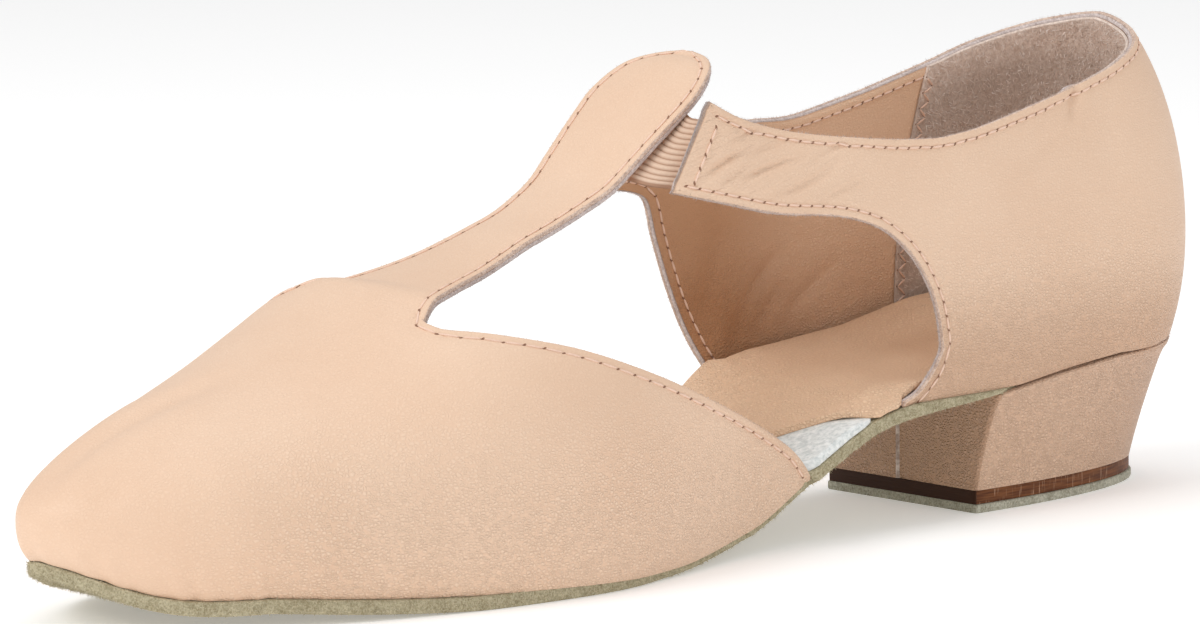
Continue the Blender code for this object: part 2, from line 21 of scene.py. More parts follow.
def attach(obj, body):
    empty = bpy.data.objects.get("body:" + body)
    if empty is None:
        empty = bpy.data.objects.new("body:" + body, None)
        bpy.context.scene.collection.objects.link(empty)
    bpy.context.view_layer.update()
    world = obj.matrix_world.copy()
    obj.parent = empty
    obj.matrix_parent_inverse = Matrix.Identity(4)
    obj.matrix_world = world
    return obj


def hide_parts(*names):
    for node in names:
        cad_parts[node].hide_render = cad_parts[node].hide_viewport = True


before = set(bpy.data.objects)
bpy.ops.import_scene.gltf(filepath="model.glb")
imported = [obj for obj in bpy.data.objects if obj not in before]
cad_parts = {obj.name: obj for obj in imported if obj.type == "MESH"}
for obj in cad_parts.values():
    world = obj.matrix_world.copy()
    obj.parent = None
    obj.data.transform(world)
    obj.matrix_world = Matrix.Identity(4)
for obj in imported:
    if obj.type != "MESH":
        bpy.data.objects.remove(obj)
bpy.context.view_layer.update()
MM = 0.001
MIDDLE = np.array((-1.007, 0.858, 0.0))  # middle of the shoe's box on the last, in millimetres
print("solids:", sorted(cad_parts))

# %% [markdown]
# ## The last
# A shoe is built over a last, a solid foot shape. The solids were made from a table of
# its cross-sections, so the same table is repeated here and asked for many more points.
# A sculpted foot would also do, but then leather and solids would drift apart.

# %% Tables and smooth curves
def table(columns, *rows):
    """Rows of values with named columns."""
    return [*map(namedtuple("Row", columns)._make, rows)]


def smooth(xs, ys, level):
    """A smooth curve through points. With level it never overshoots them."""
    steps = [b - a for a, b in zip(xs, xs[1:])]
    rates = [(b - a) / h for a, b, h in zip(ys, ys[1:], steps)]
    slopes = [rates[0]]
    for before, after, h0, h1 in zip(rates, rates[1:], steps, steps[1:]):
        if not level:
            slopes.append((h1 * before + h0 * after) / (h0 + h1))
        elif before * after <= 0:
            slopes.append(0.0)
        else:
            w0 = 2 * h1 + h0
            w1 = h1 + 2 * h0
            slopes.append((w0 + w1) / (w0 / before + w1 / after))
    slopes.append(rates[-1])

    def value(x):
        x = min(max(x, xs[0]), xs[-1])
        k = bisect_left(xs, x, 1) - 1
        t = (x - xs[k]) / steps[k]
        rest = 1 - t
        start = (1 + 2 * t) * rest * rest * ys[k] + t * rest * rest * steps[k] * slopes[k]
        return start + t * t * (3 - 2 * t) * ys[k + 1] - t * t * rest * steps[k] * slopes[k + 1]

    return value


def curves(rows, level=True):
    """Every other column of a table as a smooth function of its first column."""
    names = rows[0]._fields
    places, *columns = zip(*rows)
    return {name: smooth(places, values, level) for name, values in zip(names[1:], columns)}


def along(rows):
    """All columns of a table as smooth functions of the row's number, scaled from 0 to 1."""
    last = len(rows) - 1
    numbered = [(i / last, *row) for i, row in enumerate(rows)]
    return curves(table(("row",) + rows[0]._fields, *numbered))


print("halfway along a straight row:", smooth((0, 1), (0, 2), True)(0.5))

# %% Steps and slopes
def mix(a, b, t):
    return a + (b - a) * t


def ease(a, b, x):
    """0 up to a, 1 from b on and a soft slope between, for a number or an array."""
    t = np.clip((x - a) / (b - a), 0.0, 1.0)
    return t * t * (3 - 2 * t)


def bell(x, middle, width):
    return np.exp(-(((x - middle) / width) ** 2))


def fractions(count):
    return [i / count for i in range(count + 1)]


def graded(count, low=0.0, high=0.0, reach=0.2):
    """Fractions from 0 to 1 that crowd together towards the low or the high end."""
    spots = (np.arange(count) + 0.5) / count
    steps = 1 - low * bell(spots, 0, reach) - high * bell(spots, 1, reach)
    sums = np.concatenate([[0.0], np.cumsum(steps)])
    return [float(s) for s in sums / sums[-1]]


print("halfway from 0 to 1:", ease(0, 1, 0.5))

# %% Sections of the last
SECTIONS = table(
    "x floor near far spine swell rise ridge full",
    (-95, 2.5, 21.5, 23.0, 3.5, 2.2, 10, 34.2, 1.0),
    (-78, 1.0, 27.0, 29.5, 5.4, 2.5, 11, 40.0, 0.9),
    (-67, 0.3, 30.0, 32.3, 7.0, 2.5, 12.3, 44.5, 0.8),
    (-58, 0.0, 32.1, 34.0, 7.8, 2.5, 14, 48.6, 0.77),
    (-30, 0.0, 33.6, 31.5, 5.0, 2.7, 18, 55.5, 0.9),
    (-17, 0.3, 30.4, 27.6, 3.2, 3.0, 21.4, 59, 1.0),
    (5, 3.2, 24.3, 22.5, 1.2, 3.5, 27.8, 72.5, 1.0),
    (22, 10.5, 22.0, 20.5, 0.0, 3.5, 26.1, 82, 1.0),
    (32, 15.6, 22.1, 20.9, 0.0, 3.0, 22.0, 89, 1.0),
    (37, 17.6, 22.3, 21.2, 0.0, 2.7, 20.6, 92.5, 1.0),
    (42, 18.7, 22.5, 21.5, 0.0, 2.5, 19.8, 96, 1.0),
    (62, 21.3, 24.0, 24.0, 0.0, 1.8, 18.5, 104, 1.0),
    (68, 22.1, 24.1, 24.2, 0.0, 1.7, 18.0, 104.5, 1.0),
    (80, 23.8, 23.9, 24.0, 0.0, 1.8, 18.1, 102.7, 1.0),
    (93, 25.1, 23.5, 23.5, 0.0, 2.0, 18.1, 100, 1.0),
)
LAST = {**curves(SECTIONS, level=False), "floor": curves(SECTIONS)["floor"]}
TOE_X = SECTIONS[0].x
HEEL_X = SECTIONS[-1].x
TOE_REACH = 26.8
HEEL_REACH = 25.0
print("last:", len(SECTIONS), "sections from", TOE_X - TOE_REACH, "to", HEEL_X + HEEL_REACH, "mm")

# %% Measures of toe, heel and sole
NEAR, FAR = -1, 1  # the side towards the camera, and the other
TOE_TAPER = 0.33
TOE_SPRING = 6.0
TOE_FALL = 0.3
TOE_DROP = 0.4
TOE_FULL = 0.3
TOE_POWER = 2.05
HEEL_RISE = 1.4
HEEL_SWELL = 3.4
HEEL_LEAN = 5.5
HEEL_CORNER_LEAN = 1.6
HEEL_POWER = 2.3
OUTSOLE_THICK = 2.4
SKIVED_EDGE = 0.4
THINNING_X = 44.0
SKIVE_X = 68.0


def sole_thick(x):
    thinned = min(max((x - THINNING_X) / (SKIVE_X - THINNING_X), 0), 1)
    return mix(OUTSOLE_THICK, SKIVED_EDGE, thinned)


print("sole:", sole_thick(0), "mm thick, over the heel", round(sole_thick(HEEL_X), 1), "mm")

# %% Ribs of the last
HALVINGS = 40
Rib = namedtuple("Rib", "x y out_x out_y foot wide sole widest ridge fall full")


def turned_reach(half, reach, taper, power, ahead, across):
    """Distance from the middle of the toe or heel to its outline, in a turned direction."""
    low = 0.0
    high = half + reach
    for _ in range(HALVINGS):
        out = (low + high) / 2
        far = min(out * ahead / reach, 1.0)
        edge = (half - taper * out * ahead) * (1 - far**power) ** (1 / power)
        if out * across < edge or (across < 1e-6 and out < reach):
            low = out
        else:
            high = out
    return low


def rib(side, x, turn=0.0):
    """One upright section: straight across, or turned round the toe or the heel."""
    columns = ("spine", "swell", "rise", "ridge", "full")
    spine, swell, rise, ridge, full = (LAST[name](x) for name in columns)
    foot = LAST["near"](x) + spine if side == NEAR else LAST["far"](x) - spine
    sole = LAST["floor"](x) + sole_thick(x)
    fall = 0.0
    forward = -1.0 if x < 0 else 1.0
    ahead = math.sin(turn * math.pi / 2)
    across = math.cos(turn * math.pi / 2)
    if turn > 0 and x < 0:
        foot = turned_reach(foot, TOE_REACH, TOE_TAPER, TOE_POWER, ahead, across)
        sole += TOE_SPRING * ahead**4 * foot / TOE_REACH
        rise *= 1 - TOE_DROP * ahead**2
        fall = TOE_FALL * ahead
        full -= TOE_FULL * ahead
    elif turn > 0:
        foot = turned_reach(foot, HEEL_REACH, 0.0, HEEL_POWER, ahead, across)
        sole += HEEL_RISE * ahead**2 * foot / HEEL_REACH
        swell = mix(swell, HEEL_SWELL, ahead**2)
        ridge -= HEEL_LEAN * (ahead**2 + HEEL_CORNER_LEAN * ahead * across)
    out = (forward * ahead, side * across)
    return Rib(x, spine, *out, foot, foot + swell, sole, sole + rise, ridge, fall, full)


print("ball of the foot:", round(rib(NEAR, -58).foot + rib(FAR, -58).foot, 1), "mm wide")

# %% Points on the last
TUCK_POWER = 2.2
HEEL_TURN = 36.0  # length of path given to each quarter turn round the heel
BACK = HEEL_X + HEEL_TURN


def on_rib(r, h):
    """Point on a rib: h is 0 at the sole, 1 at the widest place and 2 on the crest."""
    if h < 1:
        out = r.wide - (r.wide - r.foot) * (1 - h) ** TUCK_POWER
        z = mix(r.sole, r.widest, h)
    else:
        angle = min(h - 1, 1.0) * math.pi / 2
        out = r.wide * math.cos(angle)
        z = r.widest + (r.ridge - r.fall * out - r.widest) * math.sin(angle) ** r.full
    return (r.x + r.out_x * out, r.y + r.out_y * out, z)


def h_at(r, z):
    """The place on a rib that has height z."""
    if z < r.widest:
        return max((z - r.sole) / (r.widest - r.sole), 0.0)
    rise = min((z - r.widest) / (r.ridge - r.widest), 0.999) ** (1 / r.full)
    return 1 + math.asin(rise) * 2 / math.pi


def heel_path(path):
    """The rib at a length of path from the near side round the heel to the far side."""
    if path <= HEEL_X:
        return rib(NEAR, path)
    if path <= BACK:
        return rib(NEAR, HEEL_X, (path - HEEL_X) / HEEL_TURN)
    if path <= BACK + HEEL_TURN:
        return rib(FAR, HEEL_X, 1 - (path - BACK) / HEEL_TURN)
    return rib(FAR, 2 * BACK - path)


def on_path(path, z):
    """The point at height z on the rib at a length of path."""
    r = heel_path(path)
    return on_rib(r, h_at(r, z))


print("back of the heel, 50 mm up:", [round(float(v), 1) for v in on_path(BACK, 50.0)])

# %% [markdown]
# ## Camera, floor and light
# The photograph was taken with a long lens, a little above the floor and from in front
# of the outer side. The camera's place was solved from the shoe's outline. The floor is
# plain and pale and the light is broad and soft, as in a white photo tent, with its main
# source above and to the left.

# %% Camera
PHOTO_WIDTH = 1200
PHOTO_HEIGHT = 624
VIEW_TURN = math.radians(41.5)
VIEW_RISE = math.radians(7.92)
VIEW_ROLL = math.radians(-0.4)
VIEW_AWAY = 1.1518
FOCUS_PX = 6878.44
CENTRE_PX = (630.59, 336.73)
LOOK_AT = Vector((-MIDDLE[0] * MM, -MIDDLE[1] * MM, 0.035))


def shown(name, data):
    """Puts a new object into the scene."""
    made = bpy.data.objects.new(name, data)
    bpy.context.scene.collection.objects.link(made)
    return made


level_back = Vector((-math.sin(VIEW_TURN), -math.cos(VIEW_TURN), 0.0))
view_back = level_back * math.cos(VIEW_RISE) + Vector((0, 0, math.sin(VIEW_RISE)))
level_right = Vector((math.cos(VIEW_TURN), -math.sin(VIEW_TURN), 0.0))
level_up = view_back.cross(level_right)
view_right = level_right * math.cos(VIEW_ROLL) + level_up * math.sin(VIEW_ROLL)
view_up = level_up * math.cos(VIEW_ROLL) - level_right * math.sin(VIEW_ROLL)
view_turned = Matrix((view_right, view_up, view_back)).transposed().to_4x4()

lens = bpy.data.cameras.new("camera")
lens.sensor_width = 36.0
lens.lens = FOCUS_PX / PHOTO_WIDTH * lens.sensor_width
lens.shift_x = 0.5 - CENTRE_PX[0] / PHOTO_WIDTH
lens.shift_y = (CENTRE_PX[1] - PHOTO_HEIGHT / 2) / PHOTO_WIDTH
lens.clip_start = 0.01
camera = shown("camera", lens)
camera.matrix_world = Matrix.Translation(LOOK_AT + view_back * VIEW_AWAY) @ view_turned
bpy.context.scene.camera = camera
bpy.context.scene.view_settings.view_transform = "Standard"
print("lens:", round(lens.lens, 1), "mm, from", round(VIEW_AWAY, 2), "m")

# %% Soft light
LAMPS = table(
    "name right up back width height watts",
    ("key", -0.85, 0.70, 0.60, 0.7, 0.6, 6.7),
    ("fill", 0.95, 0.35, 0.80, 0.8, 0.8, 2.4),
    ("top", 0.00, 1.20, -0.20, 1.2, 0.9, 3.6),
)
for lamp in LAMPS:
    light = bpy.data.lights.new(lamp.name, "AREA")
    light.shape = "RECTANGLE"
    light.size = lamp.width
    light.size_y = lamp.height
    light.energy = lamp.watts
    away = level_right * lamp.right + Vector((0, 0, lamp.up)) + view_back * lamp.back
    turned = away.to_track_quat("Z", "Y").to_matrix().to_4x4()
    shown(lamp.name, light).matrix_world = Matrix.Translation(LOOK_AT + away) @ turned

SKY = 0.55
world = bpy.data.worlds.new("tent")
world.use_nodes = True
tent = world.node_tree.nodes["Background"]
tent.inputs["Color"].default_value = (1.0, 1.0, 1.0, 1.0)
tent.inputs["Strength"].default_value = SKY
bpy.context.scene.world = world
print("lamps:", [lamp.name for lamp in LAMPS])

# %% [markdown]
# ## A small kit for node trees
# A finish is a tree of shader nodes. Written node by node it is hard to read, so one
# class stands for a socket and lets sums be typed as sums. Everything else comes from
# one method that takes a node's type, its settings and its inputs. The same kit builds
# the geometry trees further down.

# %% Sockets as numbers
def operator(operation):
    """The method for an operator, and its reflected form."""

    def forward(self, other):
        return self.maths(operation, self, other)

    def reflected(self, other):
        return self.maths(operation, other, self)

    return forward, reflected


class Wire:
    """An output socket that can be added, multiplied and so on like a number."""

    __add__, __radd__ = operator("ADD")
    __sub__, __rsub__ = operator("SUBTRACT")
    __mul__, __rmul__ = operator("MULTIPLY")
    __pow__, __rpow__ = operator("POWER")

    def __init__(self, graph, socket):
        self.graph = graph
        self.socket = socket

    def maths(self, operation, *values):
        return self.graph.node("ShaderNodeMath", {"operation": operation}, dict(enumerate(values)))

    def between(self, low, high):
        """0 below low, 1 above high and a soft slope between."""
        settings = {"interpolation_type": "SMOOTHSTEP"}
        return self.graph.node("ShaderNodeMapRange", settings, {"Value": self, 1: low, 2: high})

    def beside(self, name):
        """Another output of the same node."""
        return Wire(self.graph, self.socket.node.outputs[name])


print("operators:", [name for name in vars(Wire) if name.startswith("__r")])

# %% One way to add a node
class Graph:
    """A node tree and the one method that adds to it."""

    def __init__(self, tree):
        self.tree = tree

    def node(self, kind, settings=None, inputs=None, out=0):
        made = self.tree.nodes.new(kind)
        for name, value in (settings or {}).items():
            setattr(made, name, value)
        for name, value in (inputs or {}).items():
            socket = made.inputs[name]
            for each in value if isinstance(value, list) else [value]:
                if isinstance(each, Wire):
                    self.tree.links.new(each.socket, socket)
                else:
                    socket.default_value = each
        return Wire(self, made.outputs[out])


print("every node comes from:", Graph.node.__qualname__)

# %% Finishes as trees
class Finish(Graph):
    """A material on one Principled shader."""

    def __init__(self, name, **constants):
        self.material = bpy.data.materials.new(name)
        self.material.use_nodes = True
        super().__init__(self.material.node_tree)
        self.shader = self.tree.nodes["Principled BSDF"]
        for socket, value in constants.items():
            self.shader.inputs[socket.replace("_", " ")].default_value = value
        inputs = {0: self.node("ShaderNodeTexCoord", out="Object"), "Scale": 1 / MM}
        self.place = self.node("ShaderNodeVectorMath", {"operation": "SCALE"}, inputs)

    def stretched(self, sizes, turn=(0.0, 0.0, 0.0)):
        """Object coordinates in millimetres on turned axes, each divided by its size."""
        inputs = {"Vector": self.place, "Rotation": turn, "Scale": sizes}
        return self.node("ShaderNodeMapping", {"vector_type": "TEXTURE"}, inputs)

    def noise(self, scale, detail=2.0, place=None, rough=0.5):
        inputs = {"Vector": place or self.place, "Scale": scale, "Detail": detail, "Roughness": rough}
        return self.node("ShaderNodeTexNoise", None, inputs)

    def cells(self, scale, place):
        """Distance from the nearest border between cells."""
        settings = {"feature": "DISTANCE_TO_EDGE"}
        return self.node("ShaderNodeTexVoronoi", settings, {"Vector": place, "Scale": scale})

    def mark(self, name):
        """A number that the mesh carries at each point."""
        return self.node("ShaderNodeAttribute", {"attribute_name": name}, out="Fac")

    def blend(self, factor, first, second):
        first, second = (c if isinstance(c, Wire) else (*c, 1.0) for c in (first, second))
        inputs = {0: factor, 6: first, 7: second}
        return self.node("ShaderNodeMix", {"data_type": "RGBA"}, inputs, out=2)

    def set(self, socket, wire):
        self.tree.links.new(wire.socket, self.shader.inputs[socket])

    def paint(self, factor, first, second):
        """Makes the base colour a blend of two colours."""
        self.set("Base Color", self.blend(factor, first, second))

    def raise_by(self, height, deep):
        """Feeds a height of 0 to 1 to a bump that is this many millimetres deep."""
        inputs = {"Height": height, "Distance": deep * MM, "Strength": 1.0}
        self.set("Normal", self.node("ShaderNodeBump", None, inputs))


def srgb(*screen):
    """A screen's colour, from 0 to 255, as the amounts of light that shaders use."""
    shares = [v / 255 for v in screen]
    return tuple(s / 12.92 if s <= 0.04045 else ((s + 0.055) / 1.055) ** 2.4 for s in shares)


print("middle grey:", round(srgb(118, 118, 118)[0], 3))

# %% Floor
FLOOR_REACH = 4.0
FLOOR_GLOW = 0.24
WHITE = (1.0, 1.0, 1.0, 1.0)
floor_finish = Finish(
    "floor_white", Roughness=0.9, Emission_Color=WHITE, Emission_Strength=FLOOR_GLOW
)
floor_finish.paint(floor_finish.noise(0.01), (0.95, 0.95, 0.95), (0.955, 0.955, 0.955))
floor_mesh = bpy.data.meshes.new("floor")
corners = [(x * FLOOR_REACH, y * FLOOR_REACH, 0) for x, y in ((-1, -1), (1, -1), (1, 1), (-1, 1))]
floor_mesh.from_pydata(corners, [], [(0, 1, 2, 3)])
floor_mesh.materials.append(floor_finish.material)
floor = shown("floor", floor_mesh)
print("floor:", 2 * FLOOR_REACH, "m square")

# %% [markdown]
# ## Finishes
# The upper is fine kid leather: an even peach with a cloudy tint, pebbles well under a
# millimetre and a soft sheen. The grain shows more low on the shoe, where the light
# grazes it, so a mark on the mesh says how strong it is. Suede is rough all through, and
# a cut edge of leather shows the grey fibre inside.

# %% Smooth leathers
# Painted shade: where the shade mark is set, leather is darkened towards its deep colour times these
# shares.
FULL_SHADE_KEEPS = (0.60, 0.47, 0.37)  # the red, green and blue that leather in full shade keeps


def leather(name, light, deep, rough, pore=1.7, depth=0.22):
    """Kid leather. Marks on the mesh set its grain, its fine wrinkles and its painted shade."""
    light, deep = srgb(*light), srgb(*deep)
    finish = Finish(name, Specular_IOR_Level=0.36)
    cloud = finish.noise(0.045, 3.0)
    pebbles = finish.cells(pore, finish.stretched((1.2, 1.1, 0.9))).between(0.0, 0.32)
    hair = finish.noise(2.6, 3.0)
    drawn = finish.noise(1.0, 2.0, finish.stretched((2.6, 2.0, 0.7), (0.0, -0.15, 0.0)))
    folds = finish.noise(1.0, 2.0, finish.stretched((6.5, 4.0, 0.8), (0.0, -0.32, 0.0)))
    grain = finish.mark("grain")
    tint = (cloud - 0.5) * 0.9 + (0.2 - pebbles) * grain + (hair - 0.5) * 0.2 + 0.45
    painted_shade = tuple(c * kept for c, kept in zip(deep, FULL_SHADE_KEEPS))
    finish.paint(finish.mark("shade"), finish.blend(tint, light, deep), painted_shade)
    finish.set("Roughness", rough + (cloud - 0.5) * 0.12 + (hair - 0.5) * 0.10)
    height = (pebbles * 0.68 + hair * 0.12 + drawn * 0.16) * grain
    finish.raise_by(height + folds * finish.mark("wrinkle") * 2.8, depth)
    return finish


kid = leather("kid_leather", (236, 205, 179), (224, 187, 158), 0.47)
lining = leather("lining_leather", (252, 219, 190), (240, 202, 168), 0.55)
sock_kid = leather("sock_leather", (246, 211, 178), (232, 192, 158), 0.55, 1.6, 0.3)
heel_kid = leather("heel_leather", (226, 192, 165), (211, 173, 145), 0.45, 1.6, 0.34)
print("leathers:", *(made.material.name for made in (kid, lining, sock_kid, heel_kid)))

# %% Raw edges and suedes
def suede(name, light, deep, coarse, depth):
    """Napped leather: blotches, tufts and single fibres, with no shine."""
    light, deep = srgb(*light), srgb(*deep)
    finish = Finish(name, Roughness=0.95, Specular_IOR_Level=0.15)
    blotch = finish.noise(0.35 * coarse, 3.0)
    tufts = finish.noise(1.6 * coarse, 3.0)
    tuft_ends = finish.noise(4.0 * coarse, 2.0, finish.stretched((1.0, 1.0, 2.2)))
    tone = (blotch - 0.5) * 0.7 + (tufts - 0.5) * 1.3 + (tuft_ends - 0.5) * 0.9 + 0.5
    napped = finish.blend(tone.between(0.05, 0.95), deep, light)
    # Painted shade: the shade mark darkens the nap towards half its deep colour.
    finish.paint(finish.mark("shade"), napped, tuple(c * 0.5 for c in deep))
    finish.raise_by(tufts * 0.6 + tuft_ends * 0.4, depth)
    return finish


raw_edge = suede("raw_edge", (236, 214, 198), (186, 158, 142), 1.5, 0.18)
lining_edge = suede("lining_edge", (228, 216, 212), (184, 169, 165), 1.5, 0.15)
sole_suede = suede("sole_suede", (204, 195, 166), (148, 137, 108), 1.8, 0.3)
tip_suede = suede("tip_suede", (204, 202, 186), (146, 142, 124), 1.6, 0.3)
grip_suede = suede("grip_suede", (250, 235, 224), (214, 194, 181), 1.0, 0.35)
UPPER = [kid, raw_edge, lining, lining_edge]
print("finishes of the upper:", *(made.material.name for made in UPPER))

# %% Loose fibres' finish
def fibre(name, light, deep):
    """Fibres of a nap, each a little lighter or darker than the next."""
    finish = Finish(name, Roughness=0.95, Specular_IOR_Level=0.1)
    finish.paint(finish.noise(0.9, 2.0).between(0.3, 0.7), srgb(*deep), srgb(*light))
    return finish


sole_fibre = fibre("sole_fibre", (222, 214, 190), (160, 149, 120))
tip_fibre = fibre("tip_fibre", (212, 209, 194), (150, 145, 127))
grip_fibre = fibre("grip_fibre", (254, 246, 240), (216, 196, 182))
edge_fibre = fibre("edge_fibre", (228, 214, 208), (168, 146, 136))
print("fibres:", *(made.material.name for made in (sole_fibre, tip_fibre, grip_fibre, edge_fibre)))

# %% Thread, needle holes and elastic
thread = Finish("sewing_thread", Specular_IOR_Level=0.3)
ply = thread.noise(5.0, 1.0)
thread.paint(ply, srgb(244, 216, 198), srgb(230, 194, 172))
thread.set("Roughness", 0.6 + ply * 0.2)

# The needle holes are flat beads on the leather: their dark brown is painted shade for the hollow of
# each hole.
hole = Finish("needle_hole", Roughness=0.9)
hole.paint(hole.noise(3.0), srgb(156, 114, 90), srgb(126, 90, 70))

web = Finish("elastic_web", Specular_IOR_Level=0.2)
weave = web.noise(3.0, 2.0, web.stretched((1.0, 2.8, 1.0)))
woven = web.blend(weave, srgb(234, 208, 186), srgb(222, 190, 166))
# Painted shade: a mark from the rib tree darkens the grooves between the ribs.
web.paint(web.mark("groove"), woven, srgb(180, 142, 118))
web.set("Roughness", 0.75 + weave * 0.2)
web.raise_by(weave, 0.08)
print("sewing:", *(made.material.name for made in (thread, hole, web)))

# %% Board and heel lift
board = Finish("fibre_board", Roughness=0.95, Specular_IOR_Level=0.1)
flock = board.noise(0.9, 4.0, None, 0.65)
strands = board.noise(2.4, 2.0, board.stretched((1.0, 3.0, 1.0), (0.0, 0.0, 0.7)))
board_tone = flock * 0.6 + strands * 0.4
board.paint(board_tone.between(0.3, 0.7), srgb(206, 212, 211), srgb(250, 252, 250))
board.raise_by(board_tone, 0.35)

lift = Finish("lift_brown", Specular_IOR_Level=0.15)
layer_lines = lift.noise(1.3, 3.0, lift.stretched((8.0, 8.0, 0.45)))
scratch = lift.noise(2.0, 2.0, lift.stretched((0.6, 0.6, 8.0)))
lift_tone = lift.blend(layer_lines.between(0.3, 0.75), srgb(86, 48, 26), srgb(128, 80, 48))
lift_tone = lift.blend(scratch.between(0.58, 0.70) * 0.5, lift_tone, srgb(206, 168, 138))
# Painted shade: the shade mark darkens the lift's breast towards a deep brown.
lift.paint(lift.mark("shade"), lift_tone, srgb(56, 31, 16))
lift.set("Roughness", 0.38 + layer_lines * 0.25)
lift.raise_by(layer_lines, 0.08)
print("hard layers:", board.material.name, lift.material.name)

# %% [markdown]
# ## Sheets of leather
# Each panel starts as an open sheet on the last, made of grids that share their edges.
# Creases and stitched edges are pressed into it by moving points along their normals.
# Then it gets a wall with a rounded cut edge that shows its two layers. A Solidify
# modifier could give the wall too, but its rim is a plain band and a shoe like this is
# looked at along its raw edges.

# %% Directions and nearest points
def unit(vectors):
    """Vectors scaled to a length of one."""
    return vectors / np.maximum(np.linalg.norm(vectors, axis=-1, keepdims=True), 1e-9)


def search(points):
    """A tree that finds the nearest of some points."""
    tree = KDTree(len(points))
    for i, p in enumerate(points):
        tree.insert(p, i)
    tree.balance()
    return tree


print("a direction:", unit(np.array((3.0, 4.0))))

# %% A sheet
WELD_GAP = 2e-3
SMALLEST_EDGE = 1e-3


class Sheet:
    """Grids of points that become one sheet, facing away from the foot."""

    def __init__(self, *grids):
        self.points = []
        self.faces = []
        for rows in grids:
            self.grid(rows)

    def grid(self, rows):
        start = len(self.points)
        wide = len(rows[0])
        for row in rows:
            self.points.extend(tuple(p) for p in row)
        for i in range(len(rows) - 1):
            for j in range(wide - 1):
                a = start + i * wide + j
                self.faces.append((a, a + 1, a + wide + 1, a + wide))

    def weld(self, inside=None):
        """Joins the grids. An open sheet is turned to face away from the point inside."""
        mesh = bpy.data.meshes.new("draft")
        mesh.from_pydata(self.points, [], self.faces)
        shape = bmesh.new()
        shape.from_mesh(mesh)
        bmesh.ops.remove_doubles(shape, verts=shape.verts, dist=WELD_GAP)
        bmesh.ops.dissolve_degenerate(shape, edges=shape.edges, dist=SMALLEST_EDGE)
        bmesh.ops.recalc_face_normals(shape, faces=shape.faces)
        if inside is not None:
            middle = Vector(inside)
            outward = [
                f.normal.dot(f.calc_center_median() - middle) * f.calc_area() for f in shape.faces
            ]
            if sum(outward) < 0:
                bmesh.ops.reverse_faces(shape, faces=shape.faces)
        shape.verts.index_update()
        self.at = np.array([v.co[:] for v in shape.verts])
        self.faces = [tuple(v.index for v in f.verts) for f in shape.faces]
        shape.free()
        bpy.data.meshes.remove(mesh)
        self.first = self.at.copy()
        return self

    def normals(self):
        corners = np.array([(f + f[-1:])[:4] for f in self.faces])
        a, b, c, d = (self.at[corners[:, k]] for k in range(4))
        facing_out = np.cross(c - a, d - b)
        found = np.zeros_like(self.at)
        for k in range(4):
            np.add.at(found, corners[:, k], facing_out)
        return unit(found)

    def push(self, amount):
        """Moves each point out along its normal, in millimetres."""
        self.at = self.at + self.normals() * np.asarray(amount)[:, None]


print("sheets weld at", WELD_GAP, "mm")

# %% Lines on a sheet
def rim_of(sheet):
    """Edges (a, b) on the border, with the leather on the left as seen from outside."""
    forward = {(f[i - 1], f[i]) for f in sheet.faces for i in range(len(f))}
    return sorted((a, b) for a, b in forward if (b, a) not in forward)


def found_on(sheet, line):
    """Numbers of the points that lay nearest to a line before anything was pushed."""
    tree = search(sheet.first)
    kept = []
    for p in line:
        near = tree.find(p)[1]
        if not kept or kept[-1] != near:
            kept.append(near)
    return kept


def away_from(sheet, numbers):
    """Distance of every point from a line of numbered points."""
    spots = sheet.at[numbers]
    shares = np.linspace(0, 1, 6)[:, None]
    dense = np.concatenate([mix(a, b, shares) for a, b in zip(spots, spots[1:])])
    tree = search(dense)
    return np.array([tree.find(p)[2] for p in sheet.at])


square = Sheet([[(0, 0, 0), (1, 0, 0)], [(0, 1, 0), (1, 1, 0)]]).weld()
print("rim of a square:", rim_of(square))

# %% Creases and sewn edges
CREASE = "start middle end width depth"
CREASE_STEPS = np.linspace(0, 1, 28)
NEEDLE_INSET = 1.6


def creased(sheet, rows):
    """Soft troughs with low shoulders, one for each row. A negative depth makes a ridge."""
    amount = np.zeros(len(sheet.at))
    skin = BVHTree.FromPolygons([Vector(p) for p in sheet.at], sheet.faces)
    t = CREASE_STEPS[:, None]
    for row in rows:
        start, middle, end = (np.array(p) for p in row[:3])
        bend = 2 * middle - (start + end) / 2
        curve = (1 - t) ** 2 * start + 2 * t * (1 - t) * bend + t**2 * end
        curve = np.array([skin.find_nearest(Vector(p))[0] for p in curve])
        away = np.linalg.norm(sheet.at[:, None, :] - curve[None, :, :], axis=2)
        s = away.min(axis=1) / row.width
        fade = np.sin(np.pi * CREASE_STEPS[away.argmin(axis=1)]) ** 0.8
        amount -= row.depth * fade * (1 - 0.5 * s**2) * np.exp(-0.9 * s**2)
    return amount


def sewn_edge(away):
    """The hollow along a row of stitches and the soft roll between it and the edge."""
    return 0.08 * bell(away, 0.8, 0.5) - 0.24 * bell(away, NEEDLE_INSET, 0.6)


print("hollow under the thread:", round(-float(sewn_edge(NEEDLE_INSET)), 2), "mm")

# %% Steps of a cut edge
CUT_EDGE = table(
    "back depth",
    (0.38, 0.0),
    (0.16, 0.05),
    (0.04, 0.18),
    (0.0, 0.36),
    (0.03, 0.46),
    (0.14, 0.50),
    (0.03, 0.55),
    (0.02, 0.80),
    (0.10, 0.95),
    (0.30, 1.0),
)
LINING_STEP = 5  # from this step of the edge on, the lining's layer shows
EDGE_REACH = 1.6  # the leather gives way to the rounded edge over this distance
OUTSIDE, CUT, INSIDE, LINING_CUT = range(4)  # places in the list of finishes
print("cut edge:", len(CUT_EDGE), "steps")

# %% A wall with a cut edge
Wall = namedtuple("Wall", "points faces slots inner edge lining")


